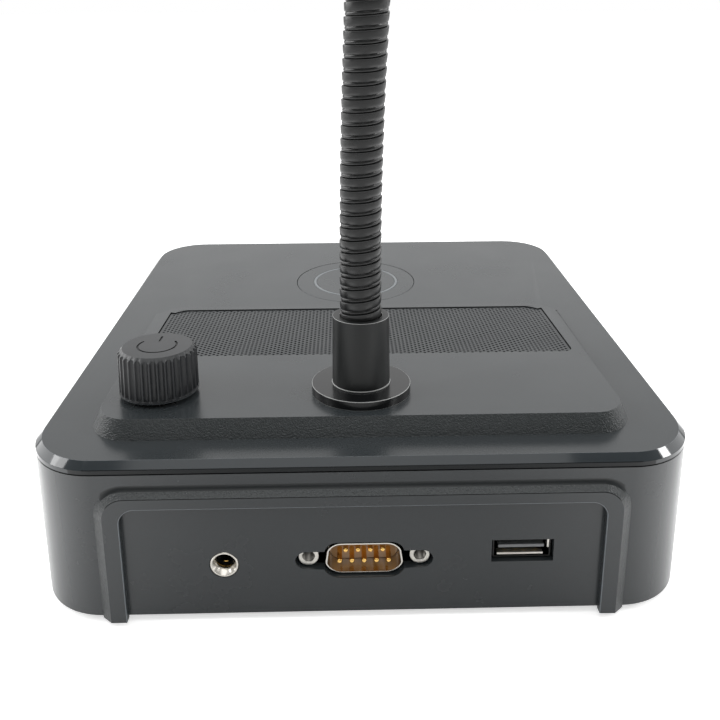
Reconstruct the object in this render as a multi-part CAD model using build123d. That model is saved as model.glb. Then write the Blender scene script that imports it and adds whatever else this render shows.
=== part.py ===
from build123d import *
import math
import os

# A desk microphone: a flat counter base with a gooseneck, a talk button, a volume knob, a
# loudspeaker behind a grille and three sockets in its rear wall.
# X runs across the base, +Y towards the rear wall with the sockets, +Z up. The origin lies on
# the table, under the middle of the base.

os.makedirs("parts", exist_ok=True)

# Shared clearances
overrun = 1.0
seat_clearance = 0.3
running_clearance = 0.05
loose_clearance = 0.15

# Base: outline, walls and the height above the table
base_width = 150.6
base_depth = 157.6
base_height = 39.2
corner_radius = 16.2
cover_chamfer = 1.54
cover_band = 1.0
cover_reveal = 0.3
wall = 2.4
floor_thickness = 2.4
foot_lift = 1.2
underside_chamfer = 0.8

# Arch moulding round the sockets on the rear wall
arch_protrusion = 1.8
arch_side_gap = 16.3
arch_height = 33.1
arch_side_slope = 2.2
arch_top_slope = 1.55
arch_crest_width = 3.6
arch_crest_height = 2.65
arch_outer_radius = 6.5
arch_inner_radius = 3.5

# Platform on the cover: a wedge, high at the rear and flush at the front
platform_side_gap = 12.3
platform_rear_setback = 9.2
platform_front_share = 0.5647
platform_rise = 4.3
platform_slope_setback = 2.0
platform_corner_radius = 6.0
platform_wall = 3.0

# Cover: the lip that drops into the casing
lip_depth = 3.5
lip_thickness = 1.6

# Casing screws and their bosses
screw_inset = 13.3
boss_radius = 5.2
cover_boss_length = 17.2
cover_boss_radius = 4.2
screw_radius = 1.5
screw_hole_radius = 1.7
screw_head_radius = 2.8
screw_head_height = 2.0
screw_recess_radius = 3.3
screw_recess_depth = 8.0
screw_thread_length = 9.0
screw_drive_radius = 1.1
screw_drive_depth = 1.1

# Rubber feet
foot_radius = 6.5
foot_recess = 0.8
foot_side_gap = 29.3
foot_end_gap = 14.0
foot_edge_chamfer = 0.4

# Speaker grille and a round loudspeaker
grille_side_gap = 4.5
grille_depth_share = 0.2411
grille_setback_share = 0.4251
grille_corner_radius = 2.5
grille_thickness = 1.1
grille_sink = 0.45
grille_ledge = 1.6
grille_fit = 0.1
grille_hole_margin = 4.2
hole_columns = 25
hole_rows = 7
hole_side = 2.0
speaker_tuck = 1.0
speaker_flange = 1.2
speaker_rim = 2.5
speaker_depth = 11.0
speaker_back_share = 0.65
speaker_sheet = 0.9
magnet_share = 0.6
magnet_height = 6.5
cone_rim_drop = 1.5
cone_depth = 7.0
cone_neck_share = 0.3
cone_sheet = 0.6

# Talk button with its light ring and its switch
button_setback_share = 0.7088
button_radius = 20.1
button_gap = 0.35
button_travel = 0.8
button_flange_radius = 22.0
button_flange_thickness = 1.4
button_flange_clearance = 0.06
button_stem_radius = 3.0
ring_radius = 14.05
ring_width = 0.9
ring_depth = 1.2
ring_fit = 0.02
plunger_radius = 1.7
plunger_length = 2.8
plunger_proud = 1.2
switch_side = 6.2
switch_height = 3.6
switch_board_thickness = 1.6
switch_board_width = 62.0
switch_board_depth = 15.0
switch_post_spacing = 53.0
switch_post_radius = 2.6
button_to_board = 8.2
small_screw_radius = 1.0
small_screw_hole = 1.05
small_screw_head_radius = 2.0
small_screw_head_height = 1.3
small_screw_length = 5.0
chamfer_angle = 45

# Volume control and its knob
controls_setback = 25.4
knob_side_gap = 14.0
knob_radius = 9.5
knob_height = 11.7
knob_lift = 0.4
knob_chamfer = 1.0
flute_count = 36
flute_depth = 0.55
flute_ridge_share = 0.3
knob_hollow_radius = 7.0
knob_hollow_depth = 3.6
shaft_radius = 3.0
shaft_lower_radius = 2.0
shaft_seat_depth = 6.0
bush_radius = 3.5
bush_hole_radius = 2.05
bush_height = 3.0
control_nut_size = 10.0
control_nut_height = 2.0
control_body_radius = 8.2
control_body_height = 6.0

# Neck mount: flange and collar above the cover, washer and nut below it
flange_radius = 12.0
flange_thickness = 2.2
flange_edge_chamfer = 0.4
collar_radius = 7.0
collar_height = 17.0
collar_edge_chamfer = 0.35
collar_socket_depth = 5.0
stem_radius = 4.5
stem_length = 9.5
neck_washer_radius = 8.0
neck_washer_thickness = 0.8
neck_nut_size = 13.0
neck_nut_height = 3.0

# Gooseneck: ribs along a curved centre line
neck_radius = 5.0
rib_pitch = 3.0
rib_step = 0.45
rib_gap = 0.3
neck_bore_radius = 2.6
cable_radius = 2.0
cable_run_count = 13
bore_run_count = 3
lower_rib_count = 21
bend_rib_count = 3
middle_rib_count = 12
upper_rib_count = 12
tip_rib_count = 11
straight_rib_count = 4
foot_tilt_angle = 3.16
low_tilt_angle = -5.5
above_low_bend_angle = -5.0
below_side_bend_angle = 10.0
above_side_bend_angle = 14.0
below_high_bend_angle = 30.0
above_high_bend_angle = 34.0
head_tilt_angle = 48.0
side_lean_angle = 2.4

# Microphone head
ferrule_radius = 6.6
ferrule_length = 11.0
ferrule_socket = 4.0
ferrule_chamfer = 1.2
head_radius = 8.0
head_length = 44.0
head_wall = 1.0
head_base = 3.0
head_shoulder = 2.4
slot_count = 12
slot_width = 2.4
slot_length = 15.0
slot_from_front = 4.0
mesh_thickness = 0.5
capsule_radius = 4.8
capsule_height = 5.5
holder_wall = 1.2
holder_height = 8.0
cap_height = 3.2
cap_chamfer = 1.2
cap_spigot = 2.0

# Boards, ballast and what stands on them
board_top_height = 8.6
board_thickness = 1.6
board_side_gap = 20.9
board_depth = 40.0
board_rear_gap = 4.6
board_post_radius = 3.2
board_screw_inset = 5.0
ballast_to_board = 23.8
ballast_thickness = 6.0
ballast_front_gap = 8.0
ballast_screw_inset = 7.0

# Serial connector, facing the rear
serial_height = 14.4
serial_shell_width = 17.7
serial_shell_height = 9.1
serial_shell_sheet = 0.4
serial_side_angle = 10.0
serial_corner_radius = 2.9
serial_reach = 5.6
serial_sink = 0.3
serial_plate_width = 30.8
serial_plate_height = 12.5
serial_plate_thickness = 0.8
serial_body_depth = 9.0
serial_body_height = 11.0
serial_floor_depth = 5.2
pin_radius = 0.5
lower_pin_count = 5
upper_pin_count = 4
pin_pitch = 2.77
pin_row_gap = 2.84
pin_reach = 4.6
pin_tail = 3.0
jackscrew_spacing = 25.0
jackscrew_radius = 2.35
jackscrew_length = 4.2
jackscrew_hole = 1.3
jackscrew_hole_depth = 3.4
serial_cut_gap = 0.4
serial_ear_height = 5.0
serial_ear_reach = 15.4

# Audio jack, facing the rear
jack_side_share = 0.2072
jack_height = 13.45
jack_ring_radius = 3.2
jack_bore_radius = 1.8
jack_bore_depth = 13.0
jack_body_width = 11.0
jack_body_depth = 14.0
jack_body_height = 10.0
jack_wall_gap = 0.1

# Data socket, facing the rear
data_side_share = 0.2351
data_height = 15.8
data_cut_width = 13.9
data_cut_height = 5.6
data_shell_width = 13.1
data_shell_height = 5.0
data_shell_sheet = 0.35
data_shell_depth = 13.0
data_sink = 1.1
data_tongue_width = 11.1
data_tongue_thickness = 1.7
data_tongue_drop = 0.45
data_tongue_sink = 0.9
data_back = 3.0

# Heights and planes worked out from those sizes
base_z = foot_lift
cover_top_z = foot_lift + base_height
cover_bevel_z = cover_top_z - cover_chamfer
cover_edge_z = cover_bevel_z - cover_band
casing_rim_z = cover_edge_z - cover_reveal
floor_z = base_z + floor_thickness
rear_wall_y = base_depth / 2 - arch_protrusion / 2
base_y = rear_wall_y - base_depth / 2
inner_width = base_width - 2 * wall
inner_depth = base_depth - 2 * wall
inner_radius = corner_radius - wall
boss_top_z = base_z + base_height - cover_boss_length
boss_height = boss_top_z - base_z

platform_width = base_width - 2 * platform_side_gap
platform_rear_y = rear_wall_y - platform_rear_setback
platform_front_y = rear_wall_y - base_depth * platform_front_share
platform_depth = platform_rear_y - platform_front_y
platform_y = (platform_rear_y + platform_front_y) / 2
platform_run = platform_depth - platform_slope_setback
platform_slope = platform_rise / platform_run
platform_tilt = math.degrees(math.atan(platform_slope))
slope_taper = math.degrees(math.atan(platform_slope_setback / platform_rise))

controls_y = rear_wall_y - controls_setback
knob_x = platform_width / 2 - knob_side_gap
grille_y = rear_wall_y - base_depth * grille_setback_share
grille_width = platform_width - 2 * grille_side_gap
grille_depth = base_depth * grille_depth_share
button_y = rear_wall_y - base_depth * button_setback_share


def platform_plane(x, y, offset=0.0):
    """A plane on the sloping platform over (x, y), raised along its normal by offset."""
    height = cover_top_z + (y - platform_front_y) * platform_slope
    lying = Plane(origin=(x, y, height), x_dir=(1, 0, 0), z_dir=(0, -platform_slope, 1))
    return lying.offset(offset)


def rear_plane(x, height, depth=0.0):
    """A plane facing out of the rear wall: its x runs to -X, its y up, its z out of the wall."""
    return Plane(origin=(x, rear_wall_y - depth, height), x_dir=(-1, 0, 0), z_dir=(0, 1, 0))


def disc(radius, low, high):
    return Pos(0, 0, low) * Cylinder(radius, high - low, align=(Align.CENTER, Align.CENTER, Align.MIN))


def tube(outer, inner, low, high):
    return disc(outer, low, high) - disc(inner, low - overrun, high + overrun)


def slab(width, depth, radius, low, high, taper=0.0):
    outline = Pos(0, 0, low) * RectangleRounded(width, depth, radius)
    return extrude(outline, amount=high - low, taper=taper)


def block(width, depth, low, high):
    return Pos(0, 0, low) * Box(width, depth, high - low, align=(Align.CENTER, Align.CENTER, Align.MIN))


def hexagon(size, low, high):
    outline = Pos(0, 0, low) * RegularPolygon(size / 2, 6, major_radius=False)
    return extrude(outline, amount=high - low)


def turned(points):
    """A solid of revolution about Z from (radius, height) points."""
    outline = make_face(Polyline(*[(r, 0, z) for r, z in points], close=True))
    return revolve(outline, axis=Axis.Z)


def corners(x, y):
    return [(sx * x, sy * y) for sx in (-1, 1) for sy in (-1, 1)]


def plain_screw(shank_radius, head_radius, head_height, length):
    """A pan-head screw pointing up: head below z = 0, shank above."""
    return disc(head_radius, -head_height, 0) + disc(shank_radius, 0, length)


# Casing
screw_places = [
    (x, base_y + y)
    for x, y in corners(base_width / 2 - screw_inset, base_depth / 2 - screw_inset)
]
foot_places = [
    (x, base_y + y)
    for x, y in corners(base_width / 2 - foot_side_gap, base_depth / 2 - foot_end_gap)
]
board_rear_y = rear_wall_y - wall - board_rear_gap
board_y = board_rear_y - board_depth / 2
board_width = inner_width - 2 * board_side_gap
board_top_z = base_z + board_top_height
jack_x = base_width * jack_side_share
data_x = -base_width * data_side_share
board_low_z = board_top_z - board_thickness
board_screw_places = [
    (x, board_y + y)
    for x, y in corners(board_width / 2 - board_screw_inset, board_depth / 2 - board_screw_inset)
]
ballast_width = board_width
ballast_depth = inner_depth - ballast_front_gap - ballast_to_board - board_depth - board_rear_gap
ballast_y = base_y - inner_depth / 2 + ballast_front_gap + ballast_depth / 2
ballast_top_z = floor_z + ballast_thickness
ballast_screw_places = [
    (x, ballast_y + y)
    for x, y in corners(ballast_width / 2 - ballast_screw_inset, ballast_depth / 2 - ballast_screw_inset)
]


def arch_outline(side_step, top_step, radius):
    """The arch seen from behind, drawn in from its outer edge by the two steps, open below."""
    half = base_width / 2 - arch_side_gap - side_step
    top = arch_height - top_step
    outline = Pos(0, top / 2) * Rectangle(2 * half, top)
    upper = outline.vertices().sort_by(Axis.Y)[-2:]
    return fillet(upper, radius)


def arch_moulding():
    foot = rear_plane(0, base_z)
    crest = rear_plane(0, base_z, -arch_protrusion)
    outer = loft(
        [
            foot * arch_outline(0, 0, arch_outer_radius),
            crest * arch_outline(arch_side_slope, arch_top_slope, arch_outer_radius - arch_top_slope),
        ]
    )
    side_in = arch_side_slope + arch_crest_width
    top_in = arch_top_slope + arch_crest_height
    inner_outline = arch_outline(side_in, top_in, arch_inner_radius)
    inner = extrude(rear_plane(0, base_z, overrun) * inner_outline, amount=arch_protrusion + 2 * overrun)
    return outer - inner


def serial_outline(width, height, radius):
    """The shell's D outline: the long side with five pins is below."""
    narrowing = height * math.tan(math.radians(serial_side_angle))
    low = width / 2
    high = width / 2 - narrowing
    outline = make_face(
        Polyline((-low, -height / 2), (low, -height / 2), (high, height / 2), (-high, height / 2), close=True)
    )
    return fillet(outline.vertices(), radius)


def serial_cutout():
    """The hole in the rear wall: the D and an ear for each jack screw."""
    width = serial_shell_width + serial_cut_gap
    height = serial_shell_height + serial_cut_gap * 2
    outline = serial_outline(width, height, serial_corner_radius + serial_cut_gap)
    ears = RectangleRounded(2 * serial_ear_reach, serial_ear_height, serial_ear_height / 2 - running_clearance)
    return outline + ears


def rear_cuts():
    """Everything that goes through the rear wall for the sockets."""
    through = wall + 2 * overrun
    serial = extrude(rear_plane(0, base_z + serial_height, -overrun) * serial_cutout(), amount=-through)
    jack_hole = Circle(jack_ring_radius + jack_wall_gap)
    jack = extrude(rear_plane(jack_x, base_z + jack_height, -overrun) * jack_hole, amount=-through)
    data_hole = Rectangle(data_cut_width, data_cut_height)
    data = extrude(rear_plane(data_x, base_z + data_height, -overrun) * data_hole, amount=-through)
    return [serial, jack, data]


def lower_casing():
    tub = Pos(0, base_y, 0) * slab(base_width, base_depth, corner_radius, base_z, casing_rim_z)
    tub = chamfer(tub.faces().sort_by(Axis.Z)[0].edges(), underside_chamfer)
    hollow_top = casing_rim_z + overrun
    hollow = Pos(0, base_y, 0) * slab(inner_width, inner_depth, inner_radius, floor_z, hollow_top)
    body = tub - hollow + arch_moulding()
    for x, y in screw_places:
        body += Pos(x, y) * disc(boss_radius, base_z, boss_top_z)
    for x, y in board_screw_places:
        body += Pos(x, y) * disc(board_post_radius, base_z, board_low_z)
    for x, y in screw_places:
        body -= Pos(x, y) * disc(screw_recess_radius, base_z - overrun, base_z + screw_recess_depth)
        body -= Pos(x, y) * disc(screw_hole_radius, base_z, boss_top_z + overrun)
    for x, y in foot_places:
        body -= Pos(x, y) * disc(foot_radius, base_z - overrun, base_z + foot_recess)
    for x, y in board_screw_places:
        body -= Pos(x, y) * disc(small_screw_hole, floor_z, board_low_z + overrun)
    for cut in rear_cuts():
        body -= cut
    return body


def rubber_feet():
    foot = disc(foot_radius, 0, base_z + foot_recess)
    foot = chamfer(foot.faces().sort_by(Axis.Z)[0].edges(), foot_edge_chamfer)
    return [Pos(x, y) * foot for x, y in foot_places]


def casing_screws():
    length = boss_height - screw_recess_depth + screw_thread_length
    body = plain_screw(screw_radius, screw_head_radius, screw_head_height, length)
    drive = Pos(0, 0, -screw_head_height) * RegularPolygon(screw_drive_radius, 6, major_radius=False)
    body -= extrude(drive, amount=screw_drive_depth)
    return [Pos(x, y, base_z + screw_recess_depth) * body for x, y in screw_places]


# Cover
def above_platform(offset):
    """Everything above the platform's surface moved along its normal by offset."""
    reach = base_width + base_depth
    return platform_plane(0, platform_y, offset) * block(reach, reach, 0, reach)


def platform():
    outline = Pos(0, platform_y, cover_top_z) * RectangleRounded(
        platform_width, platform_depth, platform_corner_radius
    )
    rise = platform_rise + overrun
    wedge = extrude(outline, amount=rise, taper=slope_taper)
    return wedge - above_platform(0)


def platform_hollow():
    """The space under the platform, one wall inside its slopes."""
    outline = Pos(0, platform_y, cover_edge_z - overrun) * RectangleRounded(
        platform_width - 2 * platform_wall,
        platform_depth - 2 * platform_wall,
        platform_corner_radius - platform_wall,
    )
    rise = cover_band + cover_chamfer + platform_rise + overrun
    return extrude(outline, amount=rise, taper=slope_taper / 2) - above_platform(-platform_wall)


def grille_opening():
    """The pocket for the grille plate and the opening inside its ledge."""
    top = platform_plane(0, grille_y)
    pocket_depth = grille_sink + grille_thickness
    pocket = top * slab(
        grille_width + 2 * grille_fit, grille_depth + 2 * grille_fit,
        grille_corner_radius + grille_fit, -pocket_depth, overrun,
    )
    opening = top * slab(
        grille_width - 2 * grille_ledge, grille_depth - 2 * grille_ledge,
        grille_corner_radius, -platform_wall - overrun, overrun,
    )
    return pocket + opening


control_top = platform_plane(knob_x, controls_y)
neck_top = platform_plane(0, controls_y)
button_post_places = [(sx * switch_post_spacing / 2, button_y) for sx in (-1, 1)]
button_board_top_z = cover_edge_z - button_to_board


def top_cover():
    plate = slab(base_width, base_depth, corner_radius, cover_edge_z, cover_bevel_z)
    plate += slab(base_width, base_depth, corner_radius, cover_bevel_z, cover_top_z, chamfer_angle)
    lip_width = inner_width - 2 * loose_clearance
    lip_length = inner_depth - 2 * loose_clearance
    lip_radius = inner_radius - loose_clearance
    lip = slab(lip_width, lip_length, lip_radius, cover_edge_z - lip_depth, cover_edge_z)
    lip -= slab(
        lip_width - 2 * lip_thickness, lip_length - 2 * lip_thickness, lip_radius - lip_thickness,
        cover_edge_z - lip_depth - overrun, cover_edge_z + overrun,
    )
    body = Pos(0, base_y, 0) * (plate + lip) + platform() - platform_hollow()
    for x, y in screw_places:
        body += Pos(x, y) * disc(cover_boss_radius, boss_top_z, cover_bevel_z)
        body -= Pos(x, y) * disc(screw_radius + running_clearance, boss_top_z - overrun, cover_edge_z)
    for x, y in button_post_places:
        body += Pos(x, y) * disc(switch_post_radius, button_board_top_z, cover_bevel_z)
        body -= Pos(x, y) * disc(small_screw_hole, button_board_top_z - overrun, cover_edge_z)
    body -= grille_opening()
    body -= Pos(0, button_y) * disc(button_radius + button_gap, cover_edge_z - overrun, cover_top_z + overrun)
    hole_low = -platform_wall - overrun
    body -= control_top * disc(bush_radius + loose_clearance, hole_low, overrun)
    body -= neck_top * disc(stem_radius + loose_clearance, hole_low, overrun)
    return body


# Speaker grille and loudspeaker
grille_seat = platform_plane(0, grille_y, -grille_sink - grille_thickness)
speaker_seat = platform_plane(0, grille_y, -platform_wall)


def hole_places():
    """Staggered rows: every second row is moved half a pitch and has one hole fewer."""
    field_width = grille_width - 2 * grille_hole_margin
    field_depth = grille_depth - 2 * grille_hole_margin
    column_pitch = field_width / (hole_columns - 1)
    row_pitch = field_depth / (hole_rows - 1)
    places = []
    for row in range(hole_rows):
        shift = column_pitch / 2 * (row % 2)
        for column in range(hole_columns - row % 2):
            x = -field_width / 2 + shift + column * column_pitch
            places.append((x, -field_depth / 2 + row * row_pitch))
    return places


def speaker_grille():
    plate = RectangleRounded(grille_width, grille_depth, grille_corner_radius)
    holes = [Pos(x, y) * Rot(0, 0, 45) * Rectangle(hole_side, hole_side) for x, y in hole_places()]
    return grille_seat * extrude(plate - holes, amount=grille_thickness)


speaker_radius = grille_depth / 2 + speaker_tuck
mouth_radius = speaker_radius - speaker_rim - speaker_sheet
back_radius = speaker_radius * speaker_back_share
cone_neck_radius = speaker_radius * cone_neck_share


def speaker_frame():
    """A turned dish with a flat rim and a hole in its back for the voice coil's neck."""
    inner_back = back_radius - speaker_sheet
    neck = cone_neck_radius + running_clearance
    return speaker_seat * turned(
        [
            (speaker_radius, 0), (speaker_radius, -speaker_flange), (mouth_radius + speaker_sheet, -speaker_flange),
            (back_radius, -speaker_depth), (neck, -speaker_depth), (neck, speaker_sheet - speaker_depth),
            (inner_back, speaker_sheet - speaker_depth), (mouth_radius, 0),
        ]
    )


def speaker_magnet():
    low = -speaker_depth - magnet_height
    return speaker_seat * disc(speaker_radius * magnet_share, low, -speaker_depth)


def speaker_cone():
    """A thin cone whose rim nears the dish's wall, on the voice coil's neck that stands on the magnet."""
    drop_share = cone_rim_drop / (speaker_depth - speaker_sheet)
    rim = mouth_radius + (back_radius - speaker_sheet - mouth_radius) * drop_share - seat_clearance
    low = -cone_rim_drop - cone_depth
    return speaker_seat * turned(
        [
            (0, -speaker_depth), (cone_neck_radius, -speaker_depth), (cone_neck_radius, low),
            (rim, -cone_rim_drop), (rim, cone_sheet - cone_rim_drop), (cone_neck_radius, low + cone_sheet),
            (0, low + cone_sheet),
        ]
    )


# Talk button
cap_low_z = cover_edge_z - button_flange_clearance
flange_low_z = cap_low_z - button_flange_thickness
switch_top_z = button_board_top_z + switch_height
plunger_top_z = switch_top_z + plunger_proud


def talk_button():
    cap = disc(button_radius, flange_low_z, cover_top_z)
    cap += disc(button_flange_radius, flange_low_z, cap_low_z)
    cap += disc(button_stem_radius, plunger_top_z, flange_low_z)
    cap -= tube(ring_radius + ring_width / 2, ring_radius - ring_width / 2, cover_top_z - ring_depth, cover_top_z)
    return Pos(0, button_y) * cap


def light_ring():
    outer = ring_radius + ring_width / 2 - ring_fit
    inner = ring_radius - ring_width / 2 + ring_fit
    return Pos(0, button_y) * tube(outer, inner, cover_top_z - ring_depth, cover_top_z)


def switch_plunger():
    low = plunger_top_z - plunger_length
    return Pos(0, button_y) * disc(plunger_radius, low, plunger_top_z)


def talk_switch():
    body = block(switch_side, switch_side, button_board_top_z, switch_top_z)
    well_low = plunger_top_z - plunger_length - button_travel - seat_clearance / 2
    body -= disc(plunger_radius + running_clearance, well_low, switch_top_z + overrun)
    return Pos(0, button_y) * body


def switch_board():
    low = button_board_top_z - switch_board_thickness
    board = Pos(0, button_y) * block(switch_board_width, switch_board_depth, low, button_board_top_z)
    for x, y in button_post_places:
        board -= Pos(x, y) * disc(small_screw_hole, low - overrun, button_board_top_z + overrun)
    return board


def small_screw(length):
    return plain_screw(small_screw_radius, small_screw_head_radius, small_screw_head_height, length)


def switch_screws():
    low = button_board_top_z - switch_board_thickness
    return [Pos(x, y, low) * small_screw(small_screw_length) for x, y in button_post_places]


# Volume control: everything stands square to the platform
def fluted(radius, low, high):
    """A prism with flute_count grooves, each a shallow V between two ridges."""
    step = math.radians(360 / flute_count)
    ridge = step * flute_ridge_share
    outline = []
    for i in range(flute_count):
        for angle, r in ((-ridge, radius), (ridge, radius), (step / 2, radius - flute_depth)):
            outline.append((r * math.cos(i * step + angle), r * math.sin(i * step + angle)))
    return extrude(Pos(0, 0, low) * make_face(Polyline(*outline, close=True)), amount=high - low)


knob_top = knob_lift + knob_height
shaft_top = knob_hollow_depth + knob_lift + shaft_seat_depth


def volume_knob():
    grip = fluted(knob_radius, knob_lift, knob_top)
    envelope = turned(
        [
            (0, knob_lift), (knob_radius, knob_lift), (knob_radius, knob_top - knob_chamfer),
            (knob_radius - knob_chamfer, knob_top), (0, knob_top),
        ]
    )
    body = grip & envelope
    body -= disc(knob_hollow_radius, knob_lift - overrun, knob_lift + knob_hollow_depth)
    body -= disc(shaft_radius, knob_lift, shaft_top)
    return control_top * body


control_seat = -platform_wall


def control_shaft():
    lower_end = control_seat - control_body_height / 2
    step = bush_height + seat_clearance / 2
    body = disc(shaft_lower_radius, lower_end, step) + disc(shaft_radius, step, shaft_top)
    return control_top * body


def control_body():
    can = disc(control_body_radius, control_seat - control_body_height, control_seat)
    bush = disc(bush_radius, control_seat, bush_height)
    bore = disc(bush_hole_radius, control_seat - control_body_height / 2, bush_height + overrun)
    return control_top * (can + bush - bore)


def control_nut():
    nut = hexagon(control_nut_size, 0, control_nut_height)
    return control_top * (nut - disc(bush_radius + running_clearance, -overrun, control_nut_height + overrun))


# Neck mount
def neck_flange():
    ring = disc(flange_radius, 0, flange_thickness)
    ring = chamfer(ring.faces().sort_by(Axis.Z)[-1].edges(), flange_edge_chamfer)
    return neck_top * (ring - disc(stem_radius + running_clearance, -overrun, flange_thickness + overrun))


def neck_collar():
    top = flange_thickness + collar_height
    body = disc(collar_radius, flange_thickness, top)
    body = chamfer(body.faces().sort_by(Axis.Z)[-1].edges(), collar_edge_chamfer)
    body += disc(stem_radius, flange_thickness - stem_length, flange_thickness)
    body -= disc(neck_radius + loose_clearance, top - collar_socket_depth, top + overrun)
    body -= disc(neck_bore_radius, flange_thickness - stem_length - overrun, top)
    return neck_top * body


def neck_washer():
    low = -platform_wall - neck_washer_thickness
    return neck_top * tube(neck_washer_radius, stem_radius + running_clearance, low, -platform_wall)


def neck_locknut():
    high = -platform_wall - neck_washer_thickness
    low = high - neck_nut_height
    nut = hexagon(neck_nut_size, low, high)
    return neck_top * (nut - disc(stem_radius + running_clearance, low - overrun, high + overrun))


# Gooseneck: stations along a curve whose forward tilt runs evenly between the spans' ends
neck_foot = neck_top.offset(flange_thickness + collar_height - collar_socket_depth)
span_counts = {
    "lower": lower_rib_count,
    "bend_low": bend_rib_count,
    "middle": middle_rib_count,
    "bend_side": bend_rib_count,
    "upper": upper_rib_count,
    "bend_high": bend_rib_count,
    "tip": tip_rib_count,
}
total_count = sum(span_counts.values())


def span_start(name):
    names = list(span_counts)
    return sum(span_counts[n] for n in names[: names.index(name)])


# The neck's tilt towards the front, in degrees, by the number of ribs below; both ends run straight
tilt_stops = [
    (0, foot_tilt_angle),
    (straight_rib_count, foot_tilt_angle),
    (span_start("bend_low"), low_tilt_angle),
    (span_start("middle"), above_low_bend_angle),
    (span_start("bend_side"), below_side_bend_angle),
    (span_start("upper"), above_side_bend_angle),
    (span_start("bend_high"), below_high_bend_angle),
    (span_start("tip"), above_high_bend_angle),
    (total_count - straight_rib_count, head_tilt_angle),
    (total_count, head_tilt_angle),
]


def forward_tilt(rib):
    for (first, before), (last, after) in zip(tilt_stops, tilt_stops[1:]):
        if rib <= last:
            return before + (after - before) * (rib - first) / (last - first)
    return head_tilt_angle


def side_lean(rib):
    """The lean towards -X, in degrees: it grows above the straight foot and then stays."""
    share = (rib - straight_rib_count) / (span_start("bend_low") - straight_rib_count)
    return side_lean_angle * min(1.0, max(0.0, share))


def heading(rib):
    tilt = math.radians(forward_tilt(rib))
    lean = math.radians(side_lean(rib))
    return Vector(-math.sin(lean), -math.sin(tilt) * math.cos(lean), math.cos(tilt) * math.cos(lean))


def walk():
    """The centre line's points, half a rib apart, each one step along the heading half way to it."""
    points = [Vector(neck_foot.origin)]
    step_count = 2 * total_count
    for i in range(step_count):
        points.append(points[-1] + heading((i + 0.5) / 2) * (rib_pitch / 2))
    return points


neck_points = walk()


def station(rib):
    """The plane across the neck above a whole or half number of ribs, its x steady along X."""
    return Plane(origin=neck_points[round(2 * rib)], x_dir=(1, 0, 0), z_dir=heading(rib))


def rib_span(first, count):
    """Ribs in a row: each is a straight band, narrow below and wide above, then a short step in."""
    narrow = Circle(neck_radius - rib_step)
    wide = Circle(neck_radius)
    reach = (rib_pitch - rib_gap) / 2
    sections = [station(first) * narrow]
    for rib in range(first, first + count):
        middle = station(rib + 0.5)
        sections.append(middle.offset(-reach) * narrow)
        sections.append(middle.offset(reach) * wide)
    sections.append(station(first + count) * narrow)
    return loft(sections, ruled=True)


def bore_span(first, count):
    stops = [first + round(2 * count * i / bore_run_count) / 2 for i in range(bore_run_count + 1)]
    return loft([station(stop) * Circle(neck_bore_radius) for stop in stops], ruled=True)


def gooseneck_span(name):
    first = span_start(name)
    count = span_counts[name]
    return rib_span(first, count) - bore_span(first, count)


def neck_cable():
    """The microphone's lead, right through the neck's bore."""
    stops = [round(2 * total_count * i / cable_run_count) / 2 for i in range(cable_run_count + 1)]
    return loft([station(stop) * Circle(cable_radius) for stop in stops], ruled=True)


def joint_place(name):
    """The middle of a bend: where its joint turns."""
    return station(span_start(name) + span_counts[name] / 2).origin


# Microphone head, along the neck's last heading
head_seat = station(total_count)


def head_ferrule():
    body = turned(
        [
            (0, -ferrule_socket), (ferrule_radius - ferrule_chamfer, -ferrule_socket),
            (ferrule_radius, ferrule_chamfer - ferrule_socket), (ferrule_radius, ferrule_length - ferrule_socket),
            (0, ferrule_length - ferrule_socket),
        ]
    )
    body -= disc(neck_radius + seat_clearance, -ferrule_socket - overrun, 0)
    body -= disc(neck_bore_radius, -overrun, ferrule_length)
    return head_seat * body


head_low = ferrule_length - ferrule_socket
head_top = head_low + head_length
slot_high = head_top - slot_from_front
slot_low = slot_high - slot_length


def head_housing():
    """A turned tube with a tapered shoulder and a ring of long slots near its front."""
    body = turned(
        [
            (0, head_low), (ferrule_radius, head_low), (head_radius, head_low + head_shoulder),
            (head_radius, head_top), (0, head_top),
        ]
    )
    body -= disc(head_radius - head_wall, head_low + head_base, head_top + overrun)
    body -= disc(neck_bore_radius, head_low - overrun, head_low + head_base + overrun)
    outline = SlotOverall(slot_length, slot_width)
    cutter = extrude(
        Plane(origin=(0, 0, (slot_low + slot_high) / 2), x_dir=(0, 0, 1), z_dir=(1, 0, 0)) * outline,
        amount=head_radius + overrun,
    )
    for i in range(slot_count):
        body -= Rot(0, 0, i * 360 / slot_count) * cutter
    return head_seat * body


mesh_outer = head_radius - head_wall - running_clearance


def head_mesh():
    """The fine mesh behind the slots, plain here as a thin sleeve."""
    return head_seat * tube(mesh_outer, mesh_outer - mesh_thickness, slot_low - slot_width, head_top - cap_spigot)


def front_cap():
    top = head_top + cap_height
    cap = disc(head_radius, head_top, top)
    cap = chamfer(cap.faces().sort_by(Axis.Z)[-1].edges(), cap_chamfer)
    cap += disc(mesh_outer, head_top - cap_spigot, head_top)
    return head_seat * cap


holder_top = slot_high - slot_width
holder_low = holder_top - holder_height


def capsule_holder():
    outer = mesh_outer - mesh_thickness - running_clearance
    body = tube(outer, capsule_radius, holder_low, holder_top)
    body += tube(outer, capsule_radius - holder_wall, holder_low, holder_top - capsule_height)
    return head_seat * body


def mic_capsule():
    return head_seat * disc(capsule_radius, holder_top - capsule_height, holder_top)


# Boards and ballast
def main_board():
    board = Pos(0, board_y) * block(board_width, board_depth, board_low_z, board_top_z)
    for x, y in board_screw_places:
        board -= Pos(x, y) * disc(small_screw_hole, board_low_z - overrun, board_top_z + overrun)
    return board


def board_screws():
    one = Rot(180, 0, 0) * small_screw(small_screw_length)
    return [Pos(x, y, board_top_z) * one for x, y in board_screw_places]


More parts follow.
